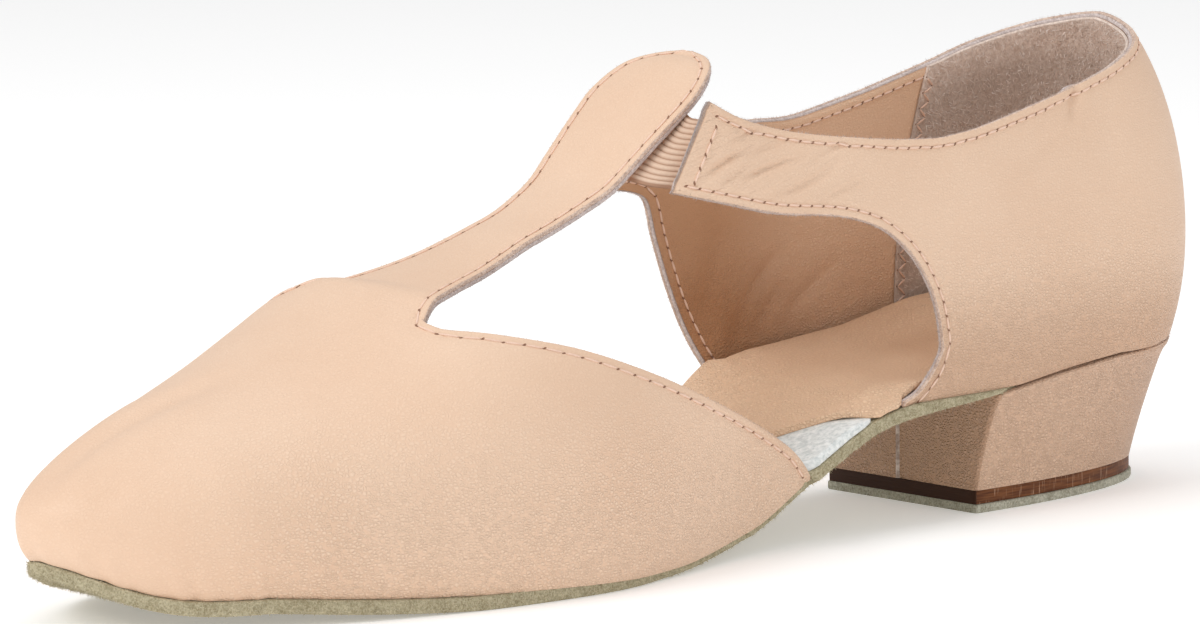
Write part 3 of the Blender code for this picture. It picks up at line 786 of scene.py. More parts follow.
def walled(sheet, thick, standing=None):
    """A sheet with a wall towards the foot. Standing points keep a square edge."""
    normals = sheet.normals()
    count = len(sheet.at)
    edges = rim_of(sheet)
    out = np.zeros_like(sheet.at)
    for a, b in edges:
        run = sheet.at[b] - sheet.at[a]
        for end in (a, b):
            out[end] += unit(np.cross(run, normals[end]))
    rim = sorted({a for edge in edges for a in edge})
    place = {v: i for i, v in enumerate(rim)}
    out = unit(out[rim])
    if standing is not None:
        out[standing[rim]] = 0.0
    border = search(sheet.at[rim])
    nearest = [border.find(p)[1:] for p in sheet.at]
    draw = np.array([out[i] * max(1 - away / EDGE_REACH, 0.0) for i, away in nearest])
    outer = sheet.at - draw * CUT_EDGE[0].back
    inner = sheet.at - draw * CUT_EDGE[-1].back - normals * thick
    points = [outer, inner]
    rings = [np.array(rim)]
    for k, step in enumerate(CUT_EDGE[1:-1]):
        points.append(sheet.at[rim] - out * step.back - normals[rim] * thick * step.depth)
        rings.append(2 * count + k * len(rim) + np.arange(len(rim)))
    rings.append(np.array(rim) + count)
    turned = [f[::-1] for f in sheet.faces]
    faces = sheet.faces + [tuple(v + count for v in f) for f in turned]
    slots = [OUTSIDE] * len(turned) + [INSIDE] * len(turned)
    for k, (upper, lower) in enumerate(zip(rings, rings[1:])):
        for a, b in edges:
            i, j = place[a], place[b]
            faces.append((int(upper[j]), int(upper[i]), int(lower[i]), int(lower[j])))
            slots.append(OUTSIDE if k < 1 else CUT if k < LINING_STEP else LINING_CUT)
    points = np.concatenate(points)
    number = np.arange(len(points))
    at_inner = (number >= count) & (number < 2 * count)
    return Wall(points, faces, slots, at_inner, number >= 2 * count, (inner, turned))


print("a wall has:", *Wall._fields)

# %% A finished piece
def given(made, slot, node=None):
    """Fixes a piece to the shoe and hides the solid it stands for. The slot is not used."""
    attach(made, "root")
    if node:
        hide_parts(node)
    print(made.name, len(made.data.polygons), "faces")
    return made


def draft(name, points, faces, marks):
    """A smooth mesh in its place on the shoe, with numbers at its points."""
    mesh = bpy.data.meshes.new(name)
    mesh.from_pydata(((np.asarray(points) - MIDDLE) * MM).tolist(), [], faces)
    for label, values in marks.items():
        mark = mesh.attributes.new(label, "FLOAT", "POINT")
        mark.data.foreach_set("value", np.asarray(values, np.float32))
    mesh.polygons.foreach_set("use_smooth", [True] * len(mesh.polygons))
    return mesh


def piece(name, points, faces, finishes, slots, marks, slot, node=None, sharp=50):
    """An object whose faces take their finishes by number."""
    mesh = draft(name, points, faces, marks)
    for finish in finishes:
        mesh.materials.append(finish.material)
    if slots is not None:
        mesh.polygons.foreach_set("material_index", slots)
    mesh.set_sharp_from_angle(angle=math.radians(sharp))
    return given(shown(name, mesh), slot, node)


# %% [markdown]
# ## Vamp and T-strap
# The front of the shoe is one skin: toe, two wings and the strap that runs up the
# instep and widens into a rounded paddle. The toe and wings lie on the last and the strap
# follows its own curve. The creases are placed from the photograph: a long soft
# dent beside the toe's ridge, small ones near it, and puckers where the leather is
# pulled over the edge of the sole.

# %% Measures of the vamp
VAMP_WALL = 1.7
THROAT_X = -57.6
THROAT = {NEAR: 1.646, FAR: 1.77}  # places on the ribs where strap and wings part
WING_EDGE = table(
    "x z",
    (-57.6, 44.6),
    (-56.6, 43.8),
    (-51.6, 43.1),
    (-39.4, 40.4),
    (-25.0, 35.2),
    (-11.7, 29.5),
    (5.1, 22.0),
    (14.8, 16.6),
    (18.6, 13.6),
    (20.6, 11.6),
)
T_STRAP = table(
    "x mid half crown",
    (-57.6, 1.6, 16.5, 48.2),
    (-57.2, 1.0, 16.0, 48.3),
    (-56.4, 0.7, 15.2, 48.4),
    (-54.5, 0.6, 14.1, 48.6),
    (-51.6, 0.7, 13.1, 49.0),
    (-46.0, 0.9, 11.6, 50.1),
    (-40.0, 1.2, 10.6, 51.5),
    (-34.0, 1.4, 9.6, 53.3),
    (-28.0, 1.6, 8.9, 55.3),
    (-22.0, 1.75, 8.8, 57.3),
    (-17.0, 1.8, 9.3, 59.6),
    (-12.0, 1.85, 10.2, 62.4),
    (-8.0, 1.87, 11.0, 65.9),
    (-4.0, 1.85, 11.7, 69.6),
    (0.0, 1.8, 12.4, 73.2),
    (4.0, 1.7, 12.9, 76.7),
    (11.0, 1.5, 12.8, 81.1),
    (17.5, 1.4, 12.7, 82.4),
)
PADDLE_X = 3.0
PADDLE_REACH = 11.7
STRAP_CROWN = (110.0, 60.0)  # radius across the strap, at the throat and further up
CROWN_X = (-56, -34)
STRAP_FREE_X = -51.0
VAMP_CREASES = table(
    CREASE,
    ((-122.5, 1.2, 18.5), (-106, 4.2, 28.8), (-84, -1.2, 38.8), 3.2, 1.1),
    ((-118, 7.5, 19), (-104, 10, 29), (-90, 9, 35.5), 4.0, -0.4),
    ((-112, -4.5, 25), (-102, -3.5, 31), (-92, -5.5, 35.5), 3.5, -0.3),
    ((-118.5, -6.6, 19.2), (-115, -7.4, 21.3), (-111, -8.3, 23.2), 2.2, 0.26),
    ((-86, -27, 9), (-78, -28, 15), (-66, -30, 22), 7.0, 0.22),
    ((-40, -32, 33), (-28, -31.5, 27), (-18, -31, 20), 8.0, 0.30),
)
print("strap:", len(T_STRAP), "rows, wing edge:", len(WING_EDGE), "rows")

# %% Toe and wings
SEAM = 0.02  # room left between leather and sole
SOLE_COVER = 1.3
SOLE_COVER_X = (-66, -10)
FAR_WING_BLEND = 0.12


def on_sole(r):
    """A rib that starts on the sole. Behind the ball the leather comes down over its edge."""
    return r._replace(sole=r.sole + SEAM - SOLE_COVER * ease(*SOLE_COVER_X, r.x))


def toe_rows(front, turn, lower, upper):
    """Rows from the near end of the throat round the toe to its far end."""
    places = [(NEAR, mix(THROAT_X, TOE_X, t), 0.0, 0.0) for t in fractions(front)]
    places += [(NEAR, TOE_X, t, t / 2) for t in fractions(turn)[1:]]
    places += [(FAR, TOE_X, 1 - t, 0.5 + t / 2) for t in fractions(turn)[1:]]
    places += [(FAR, mix(TOE_X, THROAT_X, t), 0.0, 1.0) for t in fractions(front)[1:]]
    rows = []
    for side, x, bend, share in places:
        r = on_sole(rib(side, x, bend))
        throat = mix(THROAT[NEAR], THROAT[FAR], share)
        levels = [throat * t for t in lower] + [mix(throat, 2.0, t) for t in upper[1:]]
        rows.append([on_rib(r, h) for h in levels])
    return rows


def wing_rows(side, count, lower):
    """Rows from the throat back to the tip of a wing."""
    edge = along(WING_EDGE)
    rows = []
    for t in fractions(count):
        r = on_sole(rib(side, edge["x"](t)))
        reach = h_at(r, edge["z"](t)) if t > 0 else THROAT[side]
        if side == FAR:
            reach = mix(reach, THROAT[FAR], 1 - ease(0.0, FAR_WING_BLEND, t))
        rows.append([on_rib(r, reach * f) for f in lower])
    return rows


print("wings end", round(WING_EDGE[-1].x - THROAT_X, 1), "mm behind the throat")

# %% Strap and paddle
strap_shape = curves(T_STRAP)


def strap_height(x, y):
    """The strap's own curve, which leaves the last just above the throat."""
    mid = strap_shape["mid"](x)
    radius = mix(*STRAP_CROWN, ease(*CROWN_X, x))
    own = strap_shape["crown"](x) - (y - mid) ** 2 / (2 * radius)
    free = ease(THROAT_X, STRAP_FREE_X, x)
    if free < 1:
        r = rib(NEAR if y < LAST["spine"](x) else FAR, x)
        fall = min(abs(y - r.y) / r.wide, 1.0)
        lying = r.widest + (r.ridge - r.widest) * math.sqrt(1 - fall * fall) ** r.full
        own = mix(lying, own, free)
    return own


def strap_rows(upper, strap, paddle):
    """Rows from the throat to the round end of the paddle."""
    near, far = (on_sole(rib(side, THROAT_X)) for side in (NEAR, FAR))
    first = [on_rib(near, mix(THROAT[NEAR], 2.0, t)) for t in upper]
    first += [on_rib(far, mix(THROAT[FAR], 2.0, t)) for t in reversed(upper[:-1])]
    mid = (first[0][1] + first[-1][1]) / 2
    half = (first[-1][1] - first[0][1]) / 2
    across = [(p[1] - mid) / half for p in first]
    places = [(mix(THROAT_X, PADDLE_X, t**1.6), 1.0) for t in fractions(strap)[1:]]
    for t in fractions(paddle)[1:]:
        angle = t * math.pi / 2
        places.append((PADDLE_X + PADDLE_REACH * math.sin(angle), math.cos(angle) ** 0.9))
    rows = [first]
    for x, width in places:
        ys = [strap_shape["mid"](x) + strap_shape["half"](x) * width * q for q in across]
        rows.append([(x, y, strap_height(x, y)) for y in ys])
    return rows


print("paddle:", round(2 * strap_shape["half"](PADDLE_X), 1), "mm wide")

# %% Vamp
UNDER_INSTEP = (0.0, 0.0, 30.0)
FOOT_GAP = 0.1
GRAIN_Z = (8, 38)
GRAIN_X = (-116, -80)
VAMP_FUZZ_Z = 17
PUCKER_X = (-72, -96)
PUCKER_HEIGHT = 0.30
FOOT_PINCH = 0.15


def vamp_sheet(front=30, turn=44, low=46, top=20, wing=84, strap=90, paddle=26):
    """The whole front as one sheet, with the lines of its cut edge and of its foot."""
    lower = graded(low, 0.5, 0.6)
    upper = graded(top, 0.6, 0.0)
    toe = toe_rows(front, turn, lower, upper)
    near, far = (wing_rows(side, wing, lower) for side in (NEAR, FAR))
    tongue = strap_rows(upper, strap, paddle)
    cut = [row[-1] for row in reversed(near)] + [row[0] for row in tongue[1:]]
    cut += [row[-1] for row in reversed(tongue[1:])] + [row[-1] for row in far]
    foot = [row[0] for row in near[::-1] + toe + far]
    return Sheet(toe, near, far, tongue).weld(UNDER_INSTEP), cut, foot


vamp, vamp_cut, vamp_foot = vamp_sheet()
vamp_line = found_on(vamp, vamp_cut)
above_sole = away_from(vamp, found_on(vamp, vamp_foot))
x, y, z = vamp.at.T
round_toe = np.arctan2(y - LAST["spine"](TOE_X), TOE_X - x + 12)
pucker = np.sin(round_toe * 46) * (0.6 + 0.4 * np.sin(round_toe * 17 + 1)) * ease(*PUCKER_X, x)
amount = creased(vamp, VAMP_CREASES)
amount += sewn_edge(away_from(vamp, vamp_line))
amount += PUCKER_HEIGHT * pucker * bell(above_sole, 2.2, 2.6)
amount -= FOOT_PINCH * np.maximum(1 - above_sole / 1.6, 0) ** 2
vamp.push(amount)
wall = walled(vamp, VAMP_WALL, above_sole < FOOT_GAP)
x, y, z = wall.points.T
vamp_marks = {
    "grain": 0.22 + 0.78 * (1 - ease(*GRAIN_Z, z)) * ease(*GRAIN_X, x),
    "fuzz": wall.edge * (z > VAMP_FUZZ_Z),
}
vamp_piece = piece(
    "vamp_leather", wall.points, wall.faces, UPPER, wall.slots, vamp_marks, "vamp_leather", "vamp"
)

# %% [markdown]
# ## Quarter and ankle straps
# The back of the shoe is one band that runs from the outer ankle strap round the heel to
# the inner strap. The outer side has a deep cut-out in the shape of a C and the inner
# side comes further forward. The straps carry fine slanted creases where the leather has
# been flexed, and a few broader folds mark the heel.

# %% Measures of the quarter
QUARTER_WALL = 1.5
ANKLE = "low_x low_y low_z top_x top_y top_z free"
NEAR_STRAP = table(
    ANKLE,
    (-5.4, 16.6, 61.0, 3.2, 16.7, 75.6, 1.0),
    (3.0, 19.9, 59.0, 10.0, 17.4, 72.3, 1.0),
    (13.4, 22.5, 56.6, 21.2, 19.2, 69.3, 0.6),
    (25.7, 23.9, 55.2, 33.0, 21.2, 67.7, 0.1),
    (35.0, 24.5, 52.4, 42.0, 22.2, 66.8, 0.0),
    (42.8, 24.9, 46.0, 49.5, 22.7, 66.5, 0.0),
    (47.0, 25.1, 38.3, 54.0, 23.0, 66.9, 0.0),
    (48.9, 24.6, 30.4, 58.0, 23.1, 67.4, 0.0),
)
FAR_STRAP = table(
    ANKLE,
    (37.4, 21.5, 20.0, 48.0, 22.6, 66.5, 0.0),
    (35.5, 22.4, 24.2, 46.5, 22.5, 66.5, 0.0),
    (32.2, 23.4, 30.6, 43.5, 22.3, 66.7, 0.0),
    (29.1, 23.9, 37.8, 39.5, 22.0, 67.0, 0.0),
    (25.5, 23.7, 46.9, 34.0, 21.2, 67.6, 0.1),
    (22.0, 22.9, 54.8, 27.5, 20.3, 68.4, 0.4),
    (14.4, 20.8, 57.0, 20.5, 18.4, 69.0, 0.8),
    (5.0, 17.4, 58.0, 12.0, 16.4, 70.4, 1.0),
    (-2.6, 14.0, 59.2, 4.8, 14.4, 71.2, 1.0),
)
CUT_FOOT = table(
    "foot_x cut_x cut_z",
    (41.6, 42.0, 21.9),
    (43.2, 44.6, 23.2),
    (45.2, 46.9, 26.2),
    (47.0, 48.9, 30.4),
)
TOPLINE = table(
    "path z",
    (58, 67.4),
    (64, 68.6),
    (79.5, 72.0),
    (90, 74.6),
    (BACK - 30, 77.2),
    (BACK - 12, 81.2),
    (BACK, 82.5),
    (BACK + 12, 81.2),
    (BACK + 30, 76.8),
    (2 * BACK - 88, 73.3),
    (2 * BACK - 70, 68.6),
    (2 * BACK - 55, 66.2),
    (2 * BACK - 48, 66.5),
)
BODY_FOOT = (47.0, 2 * BACK - 38.0)
BODY_TOP = (58.0, 2 * BACK - 48.0)
SPLIT_Z = (30.4, 36.0)
print("ankle straps:", len(NEAR_STRAP), "and", len(FAR_STRAP), "rows")

# %% Creases of the quarter
QUARTER_CREASES = table(
    CREASE,
    ((4.8, -18.6, 61.4), (14.8, -20.5, 64.5), (25, -21, 66.2), 0.75, 0.48),
    ((11, -21.5, 58.6), (20.7, -22, 61.5), (30, -21.6, 65.2), 0.75, 0.52),
    ((7.5, -19.6, 62.2), (13, -20.3, 64.1), (18.5, -20.6, 65.5), 0.55, 0.38),
    ((15.5, -22, 59.6), (22, -22.1, 61.2), (28, -21.9, 63.6), 0.6, 0.42),
    ((0.5, -18, 63.6), (6, -18.6, 66), (12, -18.8, 67.4), 0.6, 0.45),
    ((22, -22.5, 57.5), (28, -22.8, 59.5), (35, -23, 61.5), 0.8, 0.45),
    ((-0.5, -18.2, 62.8), (4.5, -18.4, 65.2), (9, -18.5, 67), 0.7, 0.52),
    ((2, -19, 61.2), (6, -19.3, 63), (10.5, -19.3, 65), 0.6, 0.48),
    ((5.5, -17.9, 68), (10.4, -17.8, 69.8), (14.6, -17.8, 71), 0.6, 0.45),
    ((9, -19, 66), (14, -19.4, 67.4), (19, -19.6, 68), 0.7, 0.45),
    ((20, -21.5, 63.5), (26, -21.4, 66), (31, -21.2, 67.5), 0.7, 0.45),
    ((81, -22.9, 66.5), (82.2, -22.4, 70.5), (84.5, -22, 74.5), 1.2, 1.0),
    ((67, -24.6, 59.5), (74.5, -24, 63.2), (82, -23.3, 66.5), 2.2, 0.45),
    ((62, -24.3, 24.5), (66, -25.7, 34.5), (70, -25.8, 45), 1.5, -0.30),
    ((88, -24, 52), (90, -23.8, 60), (92, -22.5, 68), 3.0, 0.25),
    ((47, 22.4, 34), (51.8, 23.1, 38.5), (57, 23.5, 43), 1.9, -0.75),
    ((47, 21.6, 27), (51.5, 22.6, 31.6), (57, 23.3, 37), 1.6, -0.60),
    ((41.5, 20.8, 25), (44.6, 21.6, 29.8), (48, 22.4, 36), 1.9, -0.70),
    ((57, 23.3, 31), (64.5, 23.8, 35.5), (72, 24.2, 40), 2.1, -0.50),
    ((36, 21.9, 31), (39, 22, 40), (40, 22, 49), 3.5, -0.70),
)
print("creases:", len(QUARTER_CREASES))

# %% Panels of the quarter
topline = curves(TOPLINE)["z"]


def ankle_rows(strap, side, count, levels):
    """Rows of an ankle strap, from the first row of its table to the last."""
    column = along(strap)
    rows = []
    for t in fractions(count):
        place = {name: value(t) for name, value in column.items()}
        row = []
        for v in levels:
            x, y, z = (mix(place["low_" + axis], place["top_" + axis], v) for axis in "xyz")
            r = rib(side, x)
            lying = on_rib(r, h_at(r, z))
            own = (x, side * y, z)
            row.append(tuple(mix(a, b, place["free"]) for a, b in zip(lying, own)))
        rows.append(row)
    return rows


def body_rows(count, lower, upper):
    """Rows from sole to topline, round the heel from cut-out to cut-out."""
    rows = []
    for k in fractions(count):
        at_foot, at_top, split = (mix(*ends, k) for ends in (BODY_FOOT, BODY_TOP, SPLIT_Z))
        foot_z = heel_path(at_foot).sole + SEAM
        top_z = topline(at_top)
        heights = [mix(foot_z, split, t) for t in lower]
        heights += [mix(split, top_z, t) for t in upper[1:]]
        shares = [(z - foot_z) / (top_z - foot_z) for z in heights]
        rows.append([on_path(mix(at_foot, at_top, t), z) for t, z in zip(shares, heights)])
    return rows


def tip_rows(count, lower):
    """The narrow point of the quarter under the near cut-out."""
    cut = along(CUT_FOOT)
    rows = []
    for t in fractions(count):
        foot_x, cut_x, cut_z = (cut[name](t) for name in ("foot_x", "cut_x", "cut_z"))
        foot_z = heel_path(foot_x).sole + SEAM
        rows.append([on_path(mix(foot_x, cut_x, v), mix(foot_z, cut_z, v)) for v in lower])
    return rows


def joined(rows, end, reach):
    """Bends the last rows of a panel so that they meet its neighbour's edge."""
    shift = np.array(end) - np.array(rows[-1])
    last = len(rows) - 1
    bent = [np.array(row) + shift * ease(1 - reach, 1, i / last) for i, row in enumerate(rows)]
    bent[-1] = np.array(end)
    return bent


print("topline at the back:", topline(BACK), "mm")

# %% Quarter
INSIDE_HEEL = (75.0, 0.0, 40.0)
HEEL_GAP = 0.3


def quarter_sheet(strap=96, body=120, low=18, high=40, foot=18):
    """The whole back as one sheet, with the lines of its cut edges."""
    lower = graded(low, 0.4, 0.5)
    upper = graded(high, 0.6, 0.6)
    rows = body_rows(body, lower, upper)
    near = joined(ankle_rows(NEAR_STRAP, NEAR, strap, upper), rows[0][low:], 0.3)
    heights = [p[2] for p in rows[-1]]
    levels = [(z - heights[0]) / (heights[-1] - heights[0]) for z in heights]
    far = ankle_rows(FAR_STRAP, FAR, strap + 12, levels)
    far = joined(far[::-1], rows[-1], 0.2)[::-1]
    tip = joined(tip_rows(foot, lower), rows[0][: low + 1], 0.7)
    lines = {
        "topline": [row[-1] for row in near + rows[1:] + far[1:]],
        "cut_out": [row[0] for row in near] + [row[-1] for row in reversed(tip[:-1])],
        "far_edge": [row[0] for row in far],
        "near_end": near[0],
        "far_end": far[-1],
    }
    return Sheet(rows, near, far, tip).weld(INSIDE_HEEL), lines


quarter, quarter_cuts = quarter_sheet()
quarter_lines = {name: found_on(quarter, line) for name, line in quarter_cuts.items()}
amount = creased(quarter, QUARTER_CREASES)
for name in ("topline", "cut_out", "far_edge"):
    amount += sewn_edge(away_from(quarter, quarter_lines[name]))
quarter.push(amount)
heel_floor = np.array([LAST["floor"](x) + sole_thick(x) for x in quarter.at[:, 0]])
quarter_wall = walled(quarter, QUARTER_WALL, quarter.first[:, 2] - heel_floor < HEEL_GAP)
print("quarter:", len(quarter.at), "points in its sheet")

# %% Marks on the quarter
STRAP_END = NEAR_STRAP[0]
STRAP_END_LEAN = 0.59
QUARTER_FUZZ_Z = 26

# Lengths and heights below are in millimetres on the last.
x, y, z = quarter_wall.points.T
# Painted shade: the outer leather gets darker low down towards the sole.
outer_shade = 0.45 * (1 - ease(26, 45, z)) * (y < 12)
# Painted shade on the lining: darker towards the front and low down, where the walls shade it, and
# less so near the top.
inner_shade = 0.85 * (1 - ease(36, 70, x)) * (1 - 0.7 * ease(54, 72, z))
inner_shade += 0.3 * (1 - ease(26, 46, z))
# The cut end of the near strap is darker: partly the raw edge's own colour, partly painted shade
# where it meets the elastic.
behind_end = (x - STRAP_END.low_x) - (z - STRAP_END.low_z) * STRAP_END_LEAN
end_shade = 0.7 * (y < 0) * (1 - ease(0.30, 0.45, behind_end))
quarter_marks = {
    "grain": 0.30 + 0.60 * (1 - ease(30, 55, z)),
    "wrinkle": (y < 0) * (1 - 0.6 * ease(6, 16, x)) * (1 - ease(28, 42, x)),
    "shade": np.select(
        [quarter_wall.inner, quarter_wall.edge], [inner_shade, end_shade], outer_shade
    ),
    "fuzz": quarter_wall.edge * (z > QUARTER_FUZZ_Z),
}
quarter_piece = piece(
    "quarter_leather",
    quarter_wall.points,
    quarter_wall.faces,
    UPPER,
    quarter_wall.slots,
    quarter_marks,
    "quarter_leather",
    "quarter",
)

# %% [markdown]
# ## Heel grip
# Inside the heel a patch of suede, nap outwards, keeps the foot from slipping. It is a
# thin layer on the quarter's inner side, so it is made from the same path round the heel
# and set in by the thickness of the wall.

# %% Heel grip
GRIP_NEAR = (84.0, 87.0)
GRIP_FAR = (2 * BACK - 83.0, 2 * BACK - 88.5)
GRIP_LOW = 28.5
GRIP_BELOW_TOP = 0.15
GRIP_THICK = 0.55
GRIP_GLUE = 0.08
GRIP_SHADE = 0.42


def grip_rows(columns=84, levels=40):
    rows = []
    for k in fractions(columns):
        low_path, top_path = (mix(*ends, k) for ends in zip(GRIP_NEAR, GRIP_FAR))
        row = []
        for v in fractions(levels):
            path = mix(low_path, top_path, v)
            row.append(on_path(path, mix(GRIP_LOW, topline(path) - GRIP_BELOW_TOP, v)))
        rows.append(row)
    return rows


rows = grip_rows()
grip_front = rows[-1]
grip = Sheet(rows).weld((75.0, 0.0, 45.0))
grip.push(np.full(len(grip.at), -QUARTER_WALL - GRIP_GLUE))
grip_wall = walled(grip, GRIP_THICK)
below_top = np.array([topline(x if y < 0 else 2 * BACK - x) - z for x, y, z in grip_wall.points])
# Painted shade: the suede gets darker further below the topline, deeper in the heel cup.
grip_marks = {"fuzz": grip_wall.inner, "shade": GRIP_SHADE * ease(2.0, 9.0, below_top)}
grip_piece = piece(
    "heel_grip", grip_wall.points, grip_wall.faces, [grip_suede], None, grip_marks, "quarter_leather"
)

# %% [markdown]
# ## Sole, board and sock
# Three layers follow the outline of the foot: a suede sole, a white fibre board and a
# leather sock on top. Each is a slab with a rounded edge whose thickness changes along
# the foot. The sock is soft, so it is given creases and its inner edge curls up the wall.

# %% Stations along the sole
Station = namedtuple("Station", "near far low_near low_far top_near top_far")


def sole_ribs(step, turn):
    """Pairs of near and far ribs from the toe tip to the heel back."""
    count = round((HEEL_X - TOE_X) / step)
    places = [(TOE_X, t) for t in reversed(fractions(turn)[1:])]
    places += [(mix(TOE_X, HEEL_X, t), 0.0) for t in fractions(count)]
    places += [(HEEL_X, t) for t in fractions(turn)[1:]]
    return [(rib(NEAR, *place), rib(FAR, *place)) for place in places]


def outline(r, inset):
    out = r.foot - inset
    return r.x + r.out_x * out, r.y + r.out_y * out


print("stations 10 mm apart:", len(sole_ribs(10, 4)))

# %% A layer with a rounded edge
LIP = table(
    "back level",
    (2.2, 0.0),
    (0.6, 0.0),
    (0.18, 0.05),
    (0.0, 0.22),
    (0.0, 0.5),
    (0.0, 0.78),
    (0.18, 0.95),
    (0.6, 1.0),
    (2.2, 1.0),
)
LIP_ROOM = 0.3  # the most of a layer's width that its lip may take


def layer(stations, lip, across=14):
    """A closed slab with a rounded edge, from stations in order along the foot."""

    def around(near, far):
        there = [getattr(s, near) for s in stations]
        return np.array(there + [getattr(s, far) for s in reversed(stations)])

    plan = around("near", "far")
    low = around("low_near", "low_far")
    top = around("top_near", "top_far")
    run = np.roll(plan, -1, axis=0) - np.roll(plan, 1, axis=0)
    out = unit(np.stack([run[:, 1], -run[:, 0]], axis=1))
    if np.sum((plan - plan.mean(axis=0)) * out) < 0:
        out = -out
    wide = [math.dist(s.near, s.far) for s in stations]
    room = np.array(wide + wide[::-1]) * LIP_ROOM
    rings = []
    for step in LIP:
        xy = plan - out * np.minimum(step.back * lip, room)[:, None]
        rings.append(np.column_stack([xy, mix(low, top, step.level)]))
    sheet = Sheet([np.vstack([ring, ring[:1]]) for ring in rings])
    count = len(stations)
    for ring in (rings[0], rings[-1]):
        pairs = zip(ring[:count], ring[count:][::-1])
        sheet.grid([[mix(a, b, q) for q in fractions(across)] for a, b in pairs])
    return sheet.weld()


print("lip:", len(LIP), "steps")

# %% Sole
SOLE_PROUD = -0.6
SOLE_TUCKED = 0.9
TUCK_X = 62
TOE_TRIM = 0.6
COVERED_X = (-66, -40, 20, 23)  # the vamp comes down over the sole's edge here
RAGGED = 0.16
SOLE_FUZZ_Z = 0.35


def within(x, zone):
    """1 inside a zone of four lengths and 0 outside it, with soft ends."""
    return ease(*zone[:2], x) * (1 - ease(*zone[2:], x))


stations = []
for near, far in sole_ribs(1.5, 40):
    if near.x + near.out_x * near.foot > SKIVE_X:
        continue
    bottoms = [r.sole - sole_thick(r.x) for r in (near, far)]
    inset = mix(SOLE_PROUD, SOLE_TUCKED, ease(TUCK_X, SKIVE_X, near.x))
    inset += TOE_TRIM * max(-near.out_x, 0.0) ** 4
    inset += within(near.x, COVERED_X)
    edges = outline(near, inset), outline(far, inset)
    stations.append(Station(*edges, *bottoms, near.sole, far.sole))
sole = layer(stations, 0.8)
x, y, z = sole.at.T
ragged = RAGGED * np.sin(x * 2.1 + 2 * np.sin(x * 0.37)) * np.sin(y * 1.7 + z)
sole.at[:, :2] += sole.normals()[:, :2] * ragged[:, None]
upright = np.linalg.norm(sole.normals()[:, :2], axis=1)
sole_marks = {"fuzz": np.clip((upright - 0.2) / 0.4, 0, 1) * (sole.at[:, 2] > SOLE_FUZZ_Z)}
sole_piece = piece(
    "outsole_suede", sole.at, sole.faces, [sole_suede], None, sole_marks, "sole_suede", "outsole"
)

# %% Board
BOARD_THICK = 2.0
SEAT = 0.05  # room left between one layer and the next
BARE = {NEAR: (18.5, 22.0, 33.5, 37.0), FAR: (22.0, 26.0, 32.0, 36.6)}
BOARD_INSET = 2.4
BOARD_PROUD = -0.3
SOCK_OVER_X = (29, 37, 42, 46)


def sock_over(x):
    """1 where the sock hangs over the near edge of the board."""
    return within(x, SOCK_OVER_X)


def board_inset(r, side):
    """The board lies inside the upper, and reaches the edge where a cut-out leaves it bare."""
    if r.out_x != 0:
        return BOARD_INSET
    return mix(BOARD_PROUD, BOARD_INSET, 1 - within(r.x, BARE[side]))


stations = []
for near, far in sole_ribs(1.5, 24):
    edges = outline(near, board_inset(near, NEAR)), outline(far, board_inset(far, FAR))
    skived = BOARD_THICK * (1 - 0.85 * sock_over(near.x))
    heights = (near.sole + SEAT, far.sole + SEAT, near.sole + skived, far.sole + BOARD_THICK)
    stations.append(Station(*edges, *heights))
insole = layer(stations, 0.5)
piece(
    "insole_board", insole.at, insole.faces, [board], None, {}, "fibre_board", "insole"
)

# %% Outline of the sock
SOCK_THICK = 1.3
SOCK_END = table(
    "x near far",
    (12.0, -9.5, 11.5),
    (12.6, -7.6, 14.0),
    (14.5, -4.6, 16.4),
    (18.0, -0.4, 18.0),
    (24.3, 8.5, 18.8),
    (29.0, 14.5, 19.6),
    (33.0, 19.6, 20.2),
    (36.0, 22.9, 20.6),
)
SOCK_INSET = 0.5
sock_end = curves(SOCK_END)
end_x = SOCK_END[-1].x
stations = []
for x in [mix(SOCK_END[0].x, end_x, t**1.5) for t in fractions(40)]:
    z = LAST["floor"](x) + OUTSOLE_THICK + BOARD_THICK + SEAT
    edges = (x, -sock_end["near"](x)), (x, sock_end["far"](x))
    stations.append(Station(*edges, z, z, z + SOCK_THICK, z + SOCK_THICK))
for near, far in sole_ribs(1.2, 20):
    if near.x <= end_x + 0.8 or near.out_x < 0:
        continue
    near_inset = mix(BOARD_PROUD, 1.6, ease(40.5, 43, near.x))
    near_inset = mix(near_inset, BOARD_INSET + SOCK_INSET, ease(50, 62, near.x))
    far_inset = max(board_inset(far, FAR) + SOCK_INSET, 0.4)
    lows = [r.sole + BOARD_THICK + SEAT for r in (near, far)]
    edges = outline(near, near_inset), outline(far, far_inset)
    stations.append(Station(*edges, *lows, *(low + SOCK_THICK for low in lows)))
sock = layer(stations, 0.4, 40)
print("sock:", len(stations), "stations")

# %% Sock
SOCK_CREASES = table(
    CREASE,
    ((40, -15, 24), (49, -9, 25.5), (60, 2, 27), 5.0, 0.55),
    ((52, -14, 26), (60, -6, 27), (66, 6, 28), 4.0, -0.4),
)
CURLS = table(
    "x high",
    (14, 0.0), (24, 1.2), (36, 2.4), (50, 2.0), (63, 2.3), (76, 3.0), (86, 3.8), (118, 3.8),
)
SOCK_GRAIN = 0.75
SOCK_HANG = 1.8
SOCK_SOFT = 0.9  # the share of a crease that a glued sock shows
curl_high = curves(CURLS)["high"]
sock.at[:, 2] += SOCK_SOFT * creased(sock, SOCK_CREASES)
x, y, z = sock.at.T
foot_edge = np.array([LAST["near"](along_x) for along_x in x])
sock.at[:, 2] -= SOCK_HANG * sock_over(x) * ease(-6.0, 0.0, -y - foot_edge)
sock.at[:, 2] += np.array([curl_high(along_x) for along_x in x]) * ease(3, 21, y) ** 1.6
# Painted shade: the heel end of the sock, inside the heel cup, is darker.
sock_marks = {
    "grain": np.full(len(x), SOCK_GRAIN),
    "shade": 0.4 * ease(54, 74, x) * (1 - ease(4, 14, y)),
}
piece(
    "sock_leather", sock.at, sock.faces, [sock_kid], None, sock_marks, "sock_leather", "sock"
)

